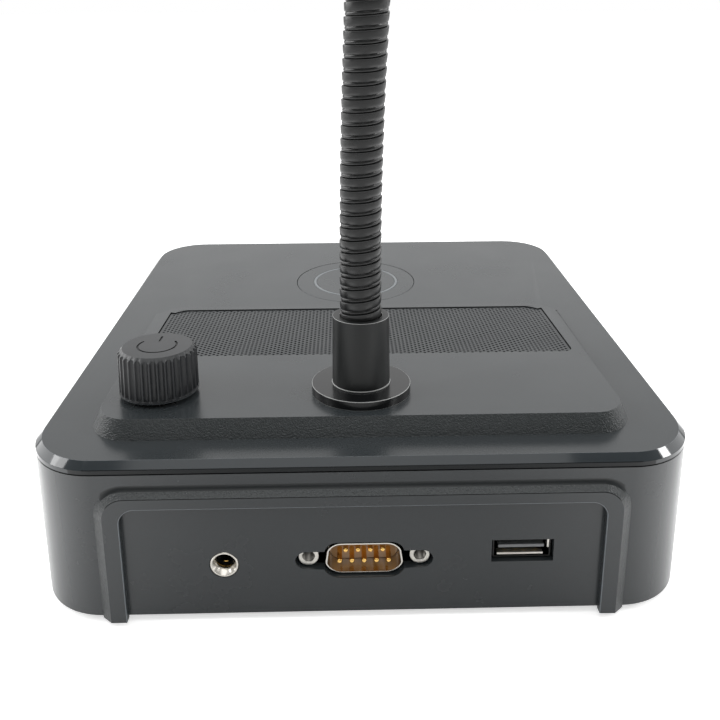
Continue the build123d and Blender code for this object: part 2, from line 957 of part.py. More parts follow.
def ballast_plate():
    plate = Pos(0, ballast_y) * block(ballast_width, ballast_depth, floor_z, ballast_top_z)
    for x, y in ballast_screw_places:
        plate -= Pos(x, y) * disc(small_screw_hole, floor_z - overrun, ballast_top_z + overrun)
    return plate


def ballast_screws():
    one = Rot(180, 0, 0) * small_screw(ballast_thickness)
    return [Pos(x, y, ballast_top_z) * one for x, y in ballast_screw_places]


# Serial connector: everything lies along the rear wall's outward normal
serial_front = rear_plane(0, base_z + serial_height, serial_sink)
plate_front = -serial_reach


def serial_shell():
    outer = serial_outline(serial_shell_width, serial_shell_height, serial_corner_radius)
    inner = offset(outer, amount=-serial_shell_sheet)
    wall_ring = extrude(Pos(0, 0, plate_front) * (outer - inner), amount=serial_reach)
    plate = RectangleRounded(serial_plate_width, serial_plate_height, serial_plate_thickness)
    plate = extrude(Pos(0, 0, plate_front) * (plate - inner), amount=-serial_plate_thickness)
    for side in (-1, 1):
        hole_low = plate_front - serial_plate_thickness - overrun
        plate -= Pos(side * jackscrew_spacing / 2, 0) * disc(jackscrew_hole, hole_low, plate_front + overrun)
    return serial_front * (wall_ring + plate)


def pin_row(count, height):
    return [((i - (count - 1) / 2) * pin_pitch, height) for i in range(count)]


def pin_places():
    return pin_row(lower_pin_count, -pin_row_gap / 2) + pin_row(upper_pin_count, pin_row_gap / 2)


def serial_insulator():
    outer = serial_outline(serial_shell_width, serial_shell_height, serial_corner_radius)
    inner = offset(outer, amount=-serial_shell_sheet - running_clearance)
    back = plate_front - serial_plate_thickness
    core = extrude(Pos(0, 0, back) * inner, amount=serial_reach - serial_floor_depth + serial_plate_thickness)
    body = Pos(0, 0, back) * Box(
        serial_plate_width, serial_body_height, serial_body_depth, align=(Align.CENTER, Align.CENTER, Align.MAX)
    )
    for x, y in pin_places():
        hole_high = -serial_floor_depth + overrun
        core -= Pos(x, y) * disc(pin_radius, back - overrun, hole_high)
        body -= Pos(x, y) * disc(pin_radius, back - pin_tail, back + overrun)
    for side in (-1, 1):
        body -= Pos(side * jackscrew_spacing / 2, 0) * disc(jackscrew_hole, back - pin_tail, back + overrun)
    return serial_front * (core + body)


def serial_pins():
    back = plate_front - serial_plate_thickness - pin_tail
    tip = -serial_floor_depth + pin_reach
    return [serial_front * Pos(x, y) * disc(pin_radius, back, tip) for x, y in pin_places()]


def serial_jackscrews():
    """Round posts on the plate, each with a threaded hole in its outer end."""
    post = disc(jackscrew_radius, plate_front, plate_front + jackscrew_length)
    tail_low = plate_front - serial_plate_thickness - pin_tail
    post += disc(jackscrew_hole, tail_low, plate_front)
    top = plate_front + jackscrew_length
    post -= disc(jackscrew_hole, top - jackscrew_hole_depth, top + overrun)
    return [serial_front * Pos(side * jackscrew_spacing / 2, 0) * post for side in (-1, 1)]


# Audio jack
jack_plane = rear_plane(jack_x, base_z + jack_height)


def audio_jack():
    """The socket's body on the board behind its threaded nickel nose."""
    nose = disc(jack_ring_radius, -wall - seat_clearance, 0)
    front = -wall - seat_clearance
    body_top = jack_body_height - (base_z + jack_height - board_top_z)
    body = Pos(0, body_top - jack_body_height / 2, front) * Box(
        jack_body_width, jack_body_height, jack_body_depth, align=(Align.CENTER, Align.CENTER, Align.MAX)
    )
    return body, nose


def jack_body():
    body, nose = audio_jack()
    return jack_plane * (body - disc(jack_bore_radius, -jack_bore_depth, overrun))


def jack_ring():
    body, nose = audio_jack()
    return jack_plane * (nose - disc(jack_bore_radius, -jack_bore_depth, overrun))


# Data socket
data_plane = rear_plane(data_x, base_z + data_height, data_sink)


def data_shell():
    """A folded metal sleeve with two legs down to the board."""
    outer = Rectangle(data_shell_width, data_shell_height)
    inner = Rectangle(data_shell_width - 2 * data_shell_sheet, data_shell_height - 2 * data_shell_sheet)
    sleeve = extrude(outer - inner, amount=-data_shell_depth)
    leg_depth = data_shell_depth / 2
    leg_height = base_z + data_height - data_shell_height / 2 - board_top_z
    for side in (-1, 1):
        x = side * (data_shell_width - data_shell_sheet) / 2
        leg = Box(
            data_shell_sheet, leg_height, leg_depth, align=(Align.CENTER, Align.MAX, Align.MAX)
        )
        sleeve += Pos(x, -data_shell_height / 2, -wall - seat_clearance) * leg
    return data_plane * sleeve


def data_tongue():
    """The contact tongue and the block at its root that closes the sleeve's back."""
    width = data_shell_width - 2 * data_shell_sheet
    height = data_shell_height - 2 * data_shell_sheet
    tongue = Pos(0, -data_tongue_drop, -data_tongue_sink) * Box(
        data_tongue_width, data_tongue_thickness, data_shell_depth - data_tongue_sink,
        align=(Align.CENTER, Align.CENTER, Align.MAX),
    )
    block_front = data_back - data_shell_depth
    root = Pos(0, 0, block_front) * Box(
        width, height, data_back, align=(Align.CENTER, Align.CENTER, Align.MAX)
    )
    return data_plane * (tongue + root)


nodes = {
    "lower_casing": lower_casing(),
    "rubber_feet": rubber_feet(),
    "casing_screws": casing_screws(),
    "top_cover": top_cover(),
    "speaker_grille": speaker_grille(),
    "speaker_frame": speaker_frame(),
    "speaker_cone": speaker_cone(),
    "speaker_magnet": speaker_magnet(),
    "talk_button": talk_button(),
    "light_ring": light_ring(),
    "switch_plunger": switch_plunger(),
    "talk_switch": talk_switch(),
    "switch_board": switch_board(),
    "switch_screws": switch_screws(),
    "volume_knob": volume_knob(),
    "control_shaft": control_shaft(),
    "control_body": control_body(),
    "control_nut": control_nut(),
    "neck_flange": neck_flange(),
    "neck_collar": neck_collar(),
    "neck_washer": neck_washer(),
    "neck_locknut": neck_locknut(),
    "neck_cable": neck_cable(),
    "head_ferrule": head_ferrule(),
    "head_housing": head_housing(),
    "head_mesh": head_mesh(),
    "front_cap": front_cap(),
    "capsule_holder": capsule_holder(),
    "mic_capsule": mic_capsule(),
    "main_board": main_board(),
    "board_screws": board_screws(),
    "ballast_plate": ballast_plate(),
    "ballast_screws": ballast_screws(),
    "serial_shell": serial_shell(),
    "serial_insulator": serial_insulator(),
    "serial_pins": serial_pins(),
    "serial_jackscrews": serial_jackscrews(),
    "jack_body": jack_body(),
    "jack_ring": jack_ring(),
    "data_shell": data_shell(),
    "data_tongue": data_tongue(),
}
for span in span_counts:
    nodes["gooseneck_" + span] = gooseneck_span(span)

for name, shape in nodes.items():
    if isinstance(shape, list):
        shape = Compound(children=shape)
    export_step(shape, f"parts/{name}.step")

for name in ("bend_low", "bend_side", "bend_high"):
    place = joint_place(name)
    tilt = forward_tilt(span_start(name) + span_counts[name] / 2)
    print(name, [round(v / 1000, 6) for v in place], "tilt", round(tilt, 3))
print("platform tilt", round(platform_tilt, 3), "control", control_top.origin, control_top.z_dir)
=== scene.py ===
# %% [markdown]
# # A desk microphone, dressed for the camera
# A flat square counter base is seen from its rear, where the sockets are. A gooseneck rises from it and
# leaves the picture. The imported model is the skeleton: every piece below is put where that model says, in
# metres, with Z up. The rear faces +Y, so the camera stands at +Y and the picture's left is +X.

import math

import bmesh
import bpy
from mathutils import Matrix, Vector


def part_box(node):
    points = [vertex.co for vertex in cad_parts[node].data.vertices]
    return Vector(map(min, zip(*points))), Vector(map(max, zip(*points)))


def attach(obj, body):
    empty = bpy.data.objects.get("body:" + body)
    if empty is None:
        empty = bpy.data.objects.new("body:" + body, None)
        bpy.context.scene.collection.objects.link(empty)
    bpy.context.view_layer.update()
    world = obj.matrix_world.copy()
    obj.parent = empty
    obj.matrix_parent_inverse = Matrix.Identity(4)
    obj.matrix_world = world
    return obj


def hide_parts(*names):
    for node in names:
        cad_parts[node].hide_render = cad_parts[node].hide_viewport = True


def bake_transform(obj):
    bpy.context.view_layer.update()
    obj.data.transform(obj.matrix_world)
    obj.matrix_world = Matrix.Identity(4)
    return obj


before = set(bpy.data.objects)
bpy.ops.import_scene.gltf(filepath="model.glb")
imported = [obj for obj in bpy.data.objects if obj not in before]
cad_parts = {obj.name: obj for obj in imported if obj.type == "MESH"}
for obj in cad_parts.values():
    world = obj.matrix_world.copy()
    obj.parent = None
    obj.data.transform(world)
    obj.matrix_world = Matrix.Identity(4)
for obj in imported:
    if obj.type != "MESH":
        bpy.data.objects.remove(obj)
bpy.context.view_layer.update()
MM = 0.001

# %% [markdown]
# ## The camera
# The camera is placed first, because everything is judged through it. The photographer held it a little
# above the base and pointed it down by about fifteen degrees. The picture was cropped low, which a small
# vertical shift repeats.

# %% Place the camera
camera_place = Vector((3.65, 231.25, 137.71)) * MM
camera_pitch = math.radians(14.77)
camera_yaw = math.radians(1.15)
camera_roll = math.radians(-0.29)

look = Vector((-math.sin(camera_yaw) * math.cos(camera_pitch), -math.cos(camera_yaw) * math.cos(camera_pitch),
               -math.sin(camera_pitch)))
right = Vector((-math.cos(camera_yaw), math.sin(camera_yaw), 0))
up = right.cross(look)
turned_right = math.cos(camera_roll) * right + math.sin(camera_roll) * up
turned_up = -math.sin(camera_roll) * right + math.cos(camera_roll) * up

camera_data = bpy.data.cameras.new("counter_camera")
camera_data.sensor_width = 36
camera_data.lens = 40.22
camera_data.shift_y = -0.2156
camera_data.clip_start = 0.01
camera = bpy.data.objects.new("counter_camera", camera_data)
bpy.context.scene.collection.objects.link(camera)
axes = Matrix((turned_right, turned_up, -look)).transposed()
camera.matrix_world = Matrix.Translation(camera_place) @ axes.to_4x4()
bpy.context.scene.camera = camera
print("the camera looks along", tuple(round(c, 3) for c in look))

# %% [markdown]
# ## Small helpers
# Blender's mesh tools act on whatever is selected, and a fresh import leaves everything selected. So each
# step first lets go of everything, takes one piece, and then picks faces or edges by where they are.

# %% Take one piece, and name it
def let_go():
    if bpy.context.object and bpy.context.object.mode != "OBJECT":
        bpy.ops.object.mode_set(mode="OBJECT")
    bpy.ops.object.select_all(action="DESELECT")


def take(piece):
    let_go()
    bpy.context.view_layer.objects.active = piece
    piece.select_set(True)


def apply_place(piece):
    take(piece)
    bpy.ops.object.transform_apply(location=True, rotation=True, scale=True)


def add(primitive, name, **settings):
    """A new piece from one of Blender's primitives, with its place already in its mesh."""
    let_go()
    primitive(**settings)
    piece = bpy.context.object
    piece.name = piece.data.name = name
    apply_place(piece)
    return piece


def open_all(piece):
    """The piece in edit mode, with everything on it selected."""
    take(piece)
    bpy.ops.object.mode_set(mode="EDIT")
    bpy.ops.mesh.select_all(action="SELECT")


def leave_edit():
    bpy.ops.object.mode_set(mode="OBJECT")


# %% Pick faces, edges or points by place
def pick(piece, kind, test):
    """Selects only the elements whose middle passes the test, and leaves the piece in edit mode."""
    take(piece)
    bpy.ops.object.mode_set(mode="EDIT")
    bpy.ops.mesh.select_mode(type={"faces": "FACE", "edges": "EDGE"}[kind])
    bpy.ops.mesh.select_all(action="DESELECT")
    shape = bmesh.from_edit_mesh(piece.data)
    count = 0
    for element in getattr(shape, kind):
        if test(element):
            element.select_set(True)
            count += 1
    shape.select_flush_mode()
    bmesh.update_edit_mesh(piece.data)
    return count


def middle(edge):
    return (edge.verts[0].co + edge.verts[1].co) / 2


# %% [markdown]
# A piece's modifiers are applied as soon as they are set, its edges are rounded and its shading is smoothed.
# Widths are given in millimetres.

# %% Modify, round and smooth
def modify(piece, kind, **settings):
    """One modifier with its settings, applied at once."""
    modifier = piece.modifiers.new(kind.lower(), kind)
    for title, value in settings.items():
        setattr(modifier, title, value)
    take(piece)
    bpy.ops.object.modifier_apply(modifier=modifier.name)


def round_edges(piece, width, segments=2, angle=30, worn=-1):
    """Moulded and turned parts have no knife edges: a narrow bevel gives each edge its line of light."""
    modify(piece, "BEVEL", width=width * MM, segments=segments, limit_method="ANGLE",
           angle_limit=math.radians(angle), use_clamp_overlap=True, material=worn)


def soften(piece, width, segments, test, material=None, clamped=True):
    """Rounds only the edges that pass the test; the new faces can take another of the piece's finishes."""
    count = pick(piece, "edges", test)
    index = piece.data.materials.find(material.name) if material else -1
    bpy.ops.mesh.bevel(offset=width * MM, segments=segments, affect="EDGES", clamp_overlap=clamped,
                       material=index)
    leave_edit()
    print(piece.name, "has", count, "softened edges,", width, "mm wide")


def smooth(piece, angle=35):
    take(piece)
    bpy.ops.object.shade_smooth_by_angle(angle=math.radians(angle))


def smooth_flats(piece, angle=35):
    """Large flat faces next to narrow rounded edges stay flat when each face's size counts."""
    smooth(piece, angle)
    modify(piece, "WEIGHTED_NORMAL", keep_sharp=True, weight=50)


def mend_normals(piece):
    """Merges doubles and turns all faces outwards."""
    open_all(piece)
    bpy.ops.mesh.remove_doubles(threshold=1e-7)
    bpy.ops.mesh.normals_make_consistent(inside=False)
    leave_edit()


def wear(piece, *materials):
    for material in materials:
        piece.data.materials.append(material)


def finish_edges(piece, material, width, segments=2, angle=30):
    wear(piece, material)
    round_edges(piece, width, segments, angle)
    smooth_flats(piece)


def add_bar(name, size, place, turn=(0, 0, 0)):
    """A box with its size in millimetres, and its middle at a place in metres."""
    sides = [side * MM for side in size]
    return add(bpy.ops.mesh.primitive_cube_add, name, size=1, scale=sides, location=place, rotation=turn)


def join(pieces, name):
    let_go()
    for piece in pieces:
        piece.select_set(True)
    bpy.context.view_layer.objects.active = pieces[0]
    bpy.ops.object.join()
    pieces[0].name = pieces[0].data.name = name
    return pieces[0]


def settle(piece, body, nodes=()):
    """The piece moves with a body and stands for these nodes."""
    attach(piece, body)
    if nodes:
        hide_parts(*nodes)
    print(f"{piece.name}: {len(piece.data.polygons)} faces")


# %% [markdown]
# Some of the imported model's shapes are already right and only lack rounded edges. Such a piece starts as a
# copy of the node: its loose triangles are merged and its flat faces made whole, and then its edges are
# rounded.

# %% Start a piece from a node's own shape
def copy_of(node, name):
    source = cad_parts[node]
    piece = bpy.data.objects.new(name, source.data.copy())
    bpy.context.scene.collection.objects.link(piece)
    piece.data.name = name
    piece.data.materials.clear()
    take(piece)
    if piece.data.has_custom_normals:
        bpy.ops.mesh.customdata_custom_splitnormals_clear()
    open_all(piece)
    bpy.ops.mesh.remove_doubles(threshold=1e-6)
    bpy.ops.mesh.dissolve_limited(angle_limit=math.radians(0.4))
    leave_edit()
    return piece


# %% [markdown]
# ## Effects that several finishes share
# A moulded plastic, a painted steel and a rubber differ in colour and gloss, but all have a fine grain and
# a soft uneven gloss where hands touched them, and on some lies a little dust. Each of these is a shader
# node group that puts out only values.

# %% Colours are written as seen on a screen, and turned to light
def seen(red, green, blue):
    def light(value):
        value /= 255
        return value / 12.92 if value <= 0.04045 else ((value + 0.055) / 1.055) ** 2.4

    return light(red), light(green), light(blue), 1.0


# %% The start of a group: its inputs, its outputs and its pattern's coordinates
def new_group(name, inputs, outputs):
    group = bpy.data.node_groups.new(name, "ShaderNodeTree")
    for title, value in inputs:
        socket = group.interface.new_socket(title, in_out="INPUT", socket_type="NodeSocketFloat")
        socket.default_value = value
    for title in outputs:
        group.interface.new_socket(title, in_out="OUTPUT", socket_type="NodeSocketFloat")
    start = group.nodes.new("NodeGroupInput")
    end = group.nodes.new("NodeGroupOutput")
    place = group.nodes.new("ShaderNodeTexCoord")
    return group, start, end, place


def feed(tree, value, socket):
    """The socket takes another node's output, or else a value of its own."""
    if isinstance(value, bpy.types.NodeSocket):
        tree.links.new(value, socket)
    else:
        socket.default_value = value


def ranged(tree, value, first, last, before, after, soft=True):
    """A value between first and last becomes one between before and after, and stays there beyond them."""
    node = tree.nodes.new("ShaderNodeMapRange")
    if soft:
        node.interpolation_type = "SMOOTHSTEP"
    titles = ("Value", "From Min", "From Max", "To Min", "To Max")
    for title, number in zip(titles, (value, first, last, before, after)):
        feed(tree, number, node.inputs[title])
    return node.outputs["Result"]


def math_node(tree, operation, first, second):
    node = tree.nodes.new("ShaderNodeMath")
    node.operation = operation
    feed(tree, first, node.inputs[0])
    feed(tree, second, node.inputs[1])
    return node.outputs[0]


def mixed(tree, factor, first, second):
    """Two colours, mixed by a factor."""
    node = tree.nodes.new("ShaderNodeMix")
    node.data_type = "RGBA"
    for title, value in (("Factor", factor), ("A", first), ("B", second)):
        feed(tree, value, node.inputs[title])
    return node.outputs["Result"]


def pattern(group, kind, place, scale, **settings):
    """A texture that keeps its place on the object."""
    node = group.nodes.new(kind)
    group.links.new(place.outputs["Object"], node.inputs["Vector"])
    feed(group, scale, node.inputs["Scale"])
    for title, value in settings.items():
        node.inputs[title].default_value = value
    return node


# %% Moulded grain: the fine leathery texture etched into a mould
def make_moulded_grain():
    group, start, end, place = new_group("moulded_grain", [("Size", 2200.0)], ["Height", "Tone"])
    size = start.outputs["Size"]
    cells = pattern(group, "ShaderNodeTexVoronoi", place, size)
    cells.feature = "SMOOTH_F1"
    cells.inputs["Smoothness"].default_value = 0.6
    cloud = pattern(group, "ShaderNodeTexNoise", place, math_node(group, "MULTIPLY", size, 0.6), Detail=3)
    ridges = math_node(group, "MULTIPLY", cells.outputs["Distance"], 0.5)
    group.links.new(math_node(group, "ADD", ridges, cloud.outputs["Fac"]), end.inputs["Height"])
    group.links.new(cloud.outputs["Fac"], end.inputs["Tone"])
    return group


# %% Handling: broad soft clouds in the gloss
def make_handling():
    group, start, end, place = new_group("handling", [("Low", 0.4), ("High", 0.5)], ["Value"])
    cloud = pattern(group, "ShaderNodeTexNoise", place, 40, Detail=5, Roughness=0.62)
    drift = ranged(group, cloud.outputs["Fac"], 0.2, 0.8, start.outputs["Low"], start.outputs["High"])
    group.links.new(drift, end.inputs["Value"])
    return group


# %% Dust: a few pale specks of different size, thinned out by a cloud
def make_dust():
    group, start, end, place = new_group("dust", [("Amount", 0.12)], ["Mask"])
    specks = pattern(group, "ShaderNodeTexVoronoi", place, 420)
    cloud = pattern(group, "ShaderNodeTexNoise", place, 55, Detail=2)
    reach = math_node(group, "MULTIPLY", specks.outputs["Color"], start.outputs["Amount"])
    near = math_node(group, "LESS_THAN", specks.outputs["Distance"], reach)
    thin = math_node(group, "GREATER_THAN", cloud.outputs["Fac"], 0.62)
    group.links.new(math_node(group, "MULTIPLY", near, thin), end.inputs["Mask"])
    return group


GRAIN = make_moulded_grain()
HANDLING = make_handling()
DUST = make_dust()
print("shared effects:", [group.name for group in bpy.data.node_groups])

# %% [markdown]
# ## Finishes
# Each finish is one material with its own Principled shader. Its base colour shifts slightly with the
# grain's tone, its roughness drifts with handling, its bump comes from the grain, and dust can lie on it.
# Numbers that are the same all over, such as the coat, are set on the shader itself.

# %% A material from a colour, a gloss range and a grain
def place_group(tree, group, **values):
    node = tree.nodes.new("ShaderNodeGroup")
    node.node_tree = group
    for title, value in values.items():
        node.inputs[title].default_value = value
    return node


def finish(name, colour, low, high, grain, depth, tone=0.12, dust=0.0, metal=0.0, coat=0.0, specular=0.5):
    """Its roughness drifts between low and high, and its grain is depth thousandths of a millimetre deep."""
    colour = seen(*colour)
    material = bpy.data.materials.new(name)
    material.use_nodes = True
    material.diffuse_color = colour
    tree = material.node_tree
    shader = tree.nodes["Principled BSDF"]
    constants = {"Metallic": metal, "Coat Weight": coat, "Coat Roughness": 0.1,
                 "Specular IOR Level": specular}
    for title, value in constants.items():
        shader.inputs[title].default_value = value
    texture = place_group(tree, GRAIN, Size=grain)
    gloss = place_group(tree, HANDLING, Low=low, High=high)
    tree.links.new(gloss.outputs["Value"], shader.inputs["Roughness"])
    dark, light = ([c * (1 + shift) for c in colour[:3]] + [1] for shift in (-tone, tone))
    shade = mixed(tree, texture.outputs["Tone"], dark, light)
    if dust:
        specks = place_group(tree, DUST, Amount=dust)
        shade = mixed(tree, specks.outputs["Mask"], shade, seen(176, 176, 172))
    tree.links.new(shade, shader.inputs["Base Color"])
    bump = tree.nodes.new("ShaderNodeBump")
    bump.inputs["Strength"].default_value = 1.0
    bump.inputs["Distance"].default_value = depth * 1e-6
    tree.links.new(texture.outputs["Height"], bump.inputs["Height"])
    tree.links.new(bump.outputs["Normal"], shader.inputs["Normal"])
    return material


# %% The plastics of the base
satin_plastic = finish("satin_charcoal_plastic", (45, 49, 51), 0.22, 0.29, 3800, 4, 0.08)
grained_plastic = finish("grained_charcoal_plastic", (44, 48, 49), 0.3, 0.4, 3500, 150, 0.6)
glossy_edge = finish("glossy_edge_plastic", (30, 37, 41), 0.06, 0.1, 900, 1, 0.05)
# Painted dark reflection: this finish stands in for the dark reflection on the cover's upright band and on the
# arch's crest.
painted_dark_reflection = finish("painted_dark_reflection_plastic", (13, 17, 19), 0.2, 0.3, 900, 2, 0.05, specular=0.25)
# Painted shade: this finish stands in for the shade in the concave fillet at the arch's foot.
shaded_edge = finish("shaded_edge_plastic", (30, 33, 34), 0.3, 0.4, 900, 2, 0.05, specular=0.35)
# Painted highlight: this finish stands in for the line of light on narrow rounded edges.
painted_highlight = finish("painted_highlight_plastic", (104, 110, 114), 0.2, 0.3, 900, 2, 0.05)
inner_plastic = finish("inner_black_plastic", (22, 23, 24), 0.45, 0.6, 1500, 20)

# %% The other plastics, rubbers and paper
button_plastic = finish("talk_button_plastic", (45, 49, 51), 0.23, 0.3, 3800, 4, 0.08)
knob_plastic = finish("knob_plastic", (35, 37, 39), 0.33, 0.43, 2600, 8, 0.12)
ring_light = finish("light_ring_plastic", (112, 117, 120), 0.25, 0.35, 1600, 4, 0.06)
foot_rubber = finish("foot_rubber", (26, 26, 27), 0.7, 0.82, 1400, 30, 0.15)
lead_rubber = finish("lead_rubber", (24, 24, 25), 0.5, 0.6, 1400, 20, 0.1)
cone_paper = finish("cone_paper", (28, 27, 26), 0.7, 0.85, 700, 80, 0.25)
connector_brown = finish("connector_tan", (176, 138, 96), 0.12, 0.22, 300, 6, 0.2, coat=0.4)
tongue_grey = finish("tongue_grey", (128, 130, 131), 0.25, 0.35, 900, 6, 0.1)
switch_black = finish("switch_black", (24, 25, 27), 0.35, 0.45, 1500, 10, 0.1)
board_green = finish("board_green", (22, 70, 46), 0.25, 0.4, 260, 10, 0.35, coat=0.3)

# %% The metals
bright_nickel = finish("bright_nickel", (214, 210, 202), 0.12, 0.24, 600, 3, 0.06, metal=1.0)
satin_nickel = finish("satin_nickel", (206, 203, 196), 0.26, 0.4, 900, 10, 0.12, metal=1.0)
shaded_nickel = finish("shaded_nickel", (52, 52, 52), 0.3, 0.45, 900, 6, 0.08, metal=1.0)
dull_steel = finish("dull_steel", (176, 176, 174), 0.28, 0.42, 900, 10, 0.1, metal=1.0)
pin_gold = finish("pin_gold", (246, 200, 116), 0.18, 0.28, 700, 3, 0.08, metal=1.0)
black_steel = finish("black_painted_steel", (22, 23, 24), 0.3, 0.4, 2600, 6, 0.1, 0.02)
neck_black = finish("neck_black_steel", (18, 19, 19), 0.24, 0.34, 1500, 10, 0.12, specular=0.47)
collar_black = finish("collar_black_metal", (20, 22, 22), 0.34, 0.42, 900, 2, 0.06, specular=0.4)
flange_black = finish("flange_black_metal", (12, 13, 14), 0.18, 0.24, 900, 2, 0.06, specular=0.4)
worn_edge = finish("worn_edge_metal", (172, 173, 172), 0.35, 0.5, 700, 4, 0.15, metal=0.6)
grille_paint = finish("grille_paint", (44, 47, 49), 0.36, 0.46, 2600, 6, 0.1, 0.03)
thread_nickel = finish("thread_nickel", (134, 131, 126), 0.3, 0.42, 900, 6, 0.1, metal=1.0)
# Painted shade for the bore of the jack screws.
bore_painted_shade = finish("bore_painted_shade", (60, 58, 54), 0.35, 0.5, 3000, 40, 0.3, metal=0.8)
capsule_metal = finish("capsule_metal", (168, 170, 172), 0.2, 0.35, 900, 10, 0.1, metal=1.0)
magnet_grey = finish("magnet_grey", (58, 58, 60), 0.4, 0.6, 900, 40, 0.2)
ballast_steel = finish("ballast_steel", (120, 122, 124), 0.35, 0.5, 700, 30, 0.15, metal=1.0)
print(len([material for material in bpy.data.materials if material.use_nodes]), "finishes so far")

# %% [markdown]
# ## Nodes whose plain shape is enough
# Pieces deep inside the base and the head are seen only when it is opened, and the feet only from below.
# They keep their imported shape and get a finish. All other nodes are replaced by pieces that are made
# further down.

# %% Give the kept nodes their finish
kept = [
    (foot_rubber, "rubber_feet"), (cone_paper, "speaker_cone"), (magnet_grey, "speaker_magnet"),
    (black_steel, "speaker_frame"), (ballast_steel, "ballast_plate"), (capsule_metal, "mic_capsule"),
    (inner_plastic, "capsule_holder jack_body"), (switch_black, "switch_plunger talk_switch"),
    (board_green, "switch_board main_board"), (bright_nickel, "control_nut neck_washer neck_locknut"),
    (dull_steel, "casing_screws switch_screws board_screws ballast_screws control_shaft control_body"),
]
for material, nodes in kept:
    for node in nodes.split():
        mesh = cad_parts[node].data
        mesh.materials.clear()
        mesh.materials.append(material)
print("nodes with a finish of their own:", " ".join(nodes for material, nodes in kept))

# %% [markdown]
# ## The base: casing and cover
# Both are injection mouldings in charcoal plastic. Flat faces are satin, the slopes of the platform and of
# the moulding round the sockets are grained, and the 45 degree edge of the cover is polished. Some narrow
# edges and bands carry painted light: a painted dark reflection, painted shade and painted highlights. One
# mesh carries several finishes, so each face gets the one for its place and direction, before its edges are
# rounded.

# %% Finish by face
def give_finishes(piece, materials, choose):
    """Each face takes the finish that is chosen for its middle and its normal."""
    wear(piece, *materials)
    for face in piece.data.polygons:
        face.material_index = materials.index(choose(face.center, face.normal))


# %% Where the lower casing is satin, grained or dark
casing_low, casing_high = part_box("lower_casing")
casing_corner = 16.2 * MM
wall_y = casing_high.y - 1.8 * MM
casing_finishes = [satin_plastic, grained_plastic, inner_plastic, painted_dark_reflection, painted_highlight, shaded_edge]


def depth_in_casing(place):
    """How far a place lies inside the casing's rounded outline, seen from above."""
    across = abs(place.x) - (casing_high.x - casing_corner)
    along = abs(place.y - (casing_low.y + wall_y) / 2) - ((wall_y - casing_low.y) / 2 - casing_corner)
    return casing_corner - math.hypot(max(across, 0), max(along, 0)) - min(max(across, along), 0)


def casing_finish(place, normal):
    on_arch = wall_y - 0.2 * MM < place.y < casing_high.y - 0.1 * MM
    if on_arch and 0.1 < normal.y < 0.97:
        return grained_plastic
    within = depth_in_casing(place) > 1.6 * MM and place.z > casing_low.z + 2 * MM
    return inner_plastic if within else satin_plastic


# %% The edges of the arch, the raised moulding round the sockets
arch_half, arch_top = 57.6 * MM, 31 * MM
arch_inner_half, arch_inner_top = 53.5 * MM, 30.5 * MM


def beside_one_slope(edge):
    found = [casing_finishes[face.material_index] for face in edge.link_faces]
    return len(found) == 2 and satin_plastic in found and grained_plastic in found


def at_arch_top(edge):
    return middle(edge).z > arch_top and abs(middle(edge).x) < arch_half


def at_arch_foot(edge):
    at_wall = abs(middle(edge).y - wall_y) < 0.05 * MM
    return at_wall and beside_one_slope(edge) and edge.calc_face_angle(0) > 0.3


def at_arch_front(edge):
    return middle(edge).y > casing_high.y - 0.05 * MM


def at_arch_crest(edge):
    return at_arch_front(edge) and beside_one_slope(edge)


def at_arch_inside(edge):
    place = middle(edge)
    return at_arch_front(edge) and abs(place.x) < arch_inner_half and 1.6 * MM < place.z < arch_inner_top


def at_leg_end(edge):
    place = middle(edge)
    return place.y > wall_y + 0.1 * MM and place.z < casing_low.z + 1.0 * MM


# %% [markdown]
# The opening for the serial socket is drawn into its final shape: wider towards its top and a little lower.
# The holes for the two jack screws beside it move down by about half a millimetre.

# %% The casing's wall with its openings
opening_half, opening_low, opening_height = 9.3 * MM, 10.65 * MM, 9.9 * MM
screw_hole_drop = 0.55 * MM
casing = copy_of("lower_casing", "casing_shell")
for vertex in casing.data.vertices:
    if not wall_y - 3 * MM < vertex.co.y < wall_y + 0.1 * MM:
        continue
    if abs(vertex.co.x) < opening_half and 10.4 * MM < vertex.co.z < 20.8 * MM:
        rise = (vertex.co.z - opening_low) / opening_height
        vertex.co.x += math.copysign((0.4 + rise) * MM, vertex.co.x)
        vertex.co.z = 10.69 * MM + rise * 9.14 * MM
    if opening_half < abs(vertex.co.x) < 17 * MM and 16 * MM < vertex.co.z < 20 * MM:
        vertex.co.z -= screw_hole_drop

# %% The casing's finishes and edges
give_finishes(casing, casing_finishes, casing_finish)
# Painted light on the arch: a painted dark reflection along the top of its crest, painted shade in the fillet
# at its foot, and a painted highlight along its inner edge.
soften(casing, 0.26, 3, lambda edge: at_arch_crest(edge) and at_arch_top(edge), painted_dark_reflection)
soften(casing, 0.5, 4, at_arch_crest)
soften(casing, 0.7, 4, lambda edge: at_arch_foot(edge) and at_arch_top(edge), shaded_edge, False)
soften(casing, 1.1, 4, at_leg_end)
soften(casing, 0.22, 2, at_arch_inside, painted_highlight)
round_edges(casing, 0.3, 3, 25)
smooth_flats(casing, 40)
settle(casing, "base", ["lower_casing"])

# %% The finishes of the top cover: satin flats, a polished rim with a painted dark reflection on its band, grained slopes, dark walls
cover_low, cover_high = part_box("top_cover")
cover_height = 40.4
cover_top = cover_height * MM
rim_foot = cover_top - 1.54 * MM
rim_band, corner_band = 9 * MM, 16 * MM
cover_finishes = [satin_plastic, grained_plastic, glossy_edge, inner_plastic, painted_dark_reflection, painted_highlight]


def is_slope(normal):
    return 0.2 < normal.z < 0.6


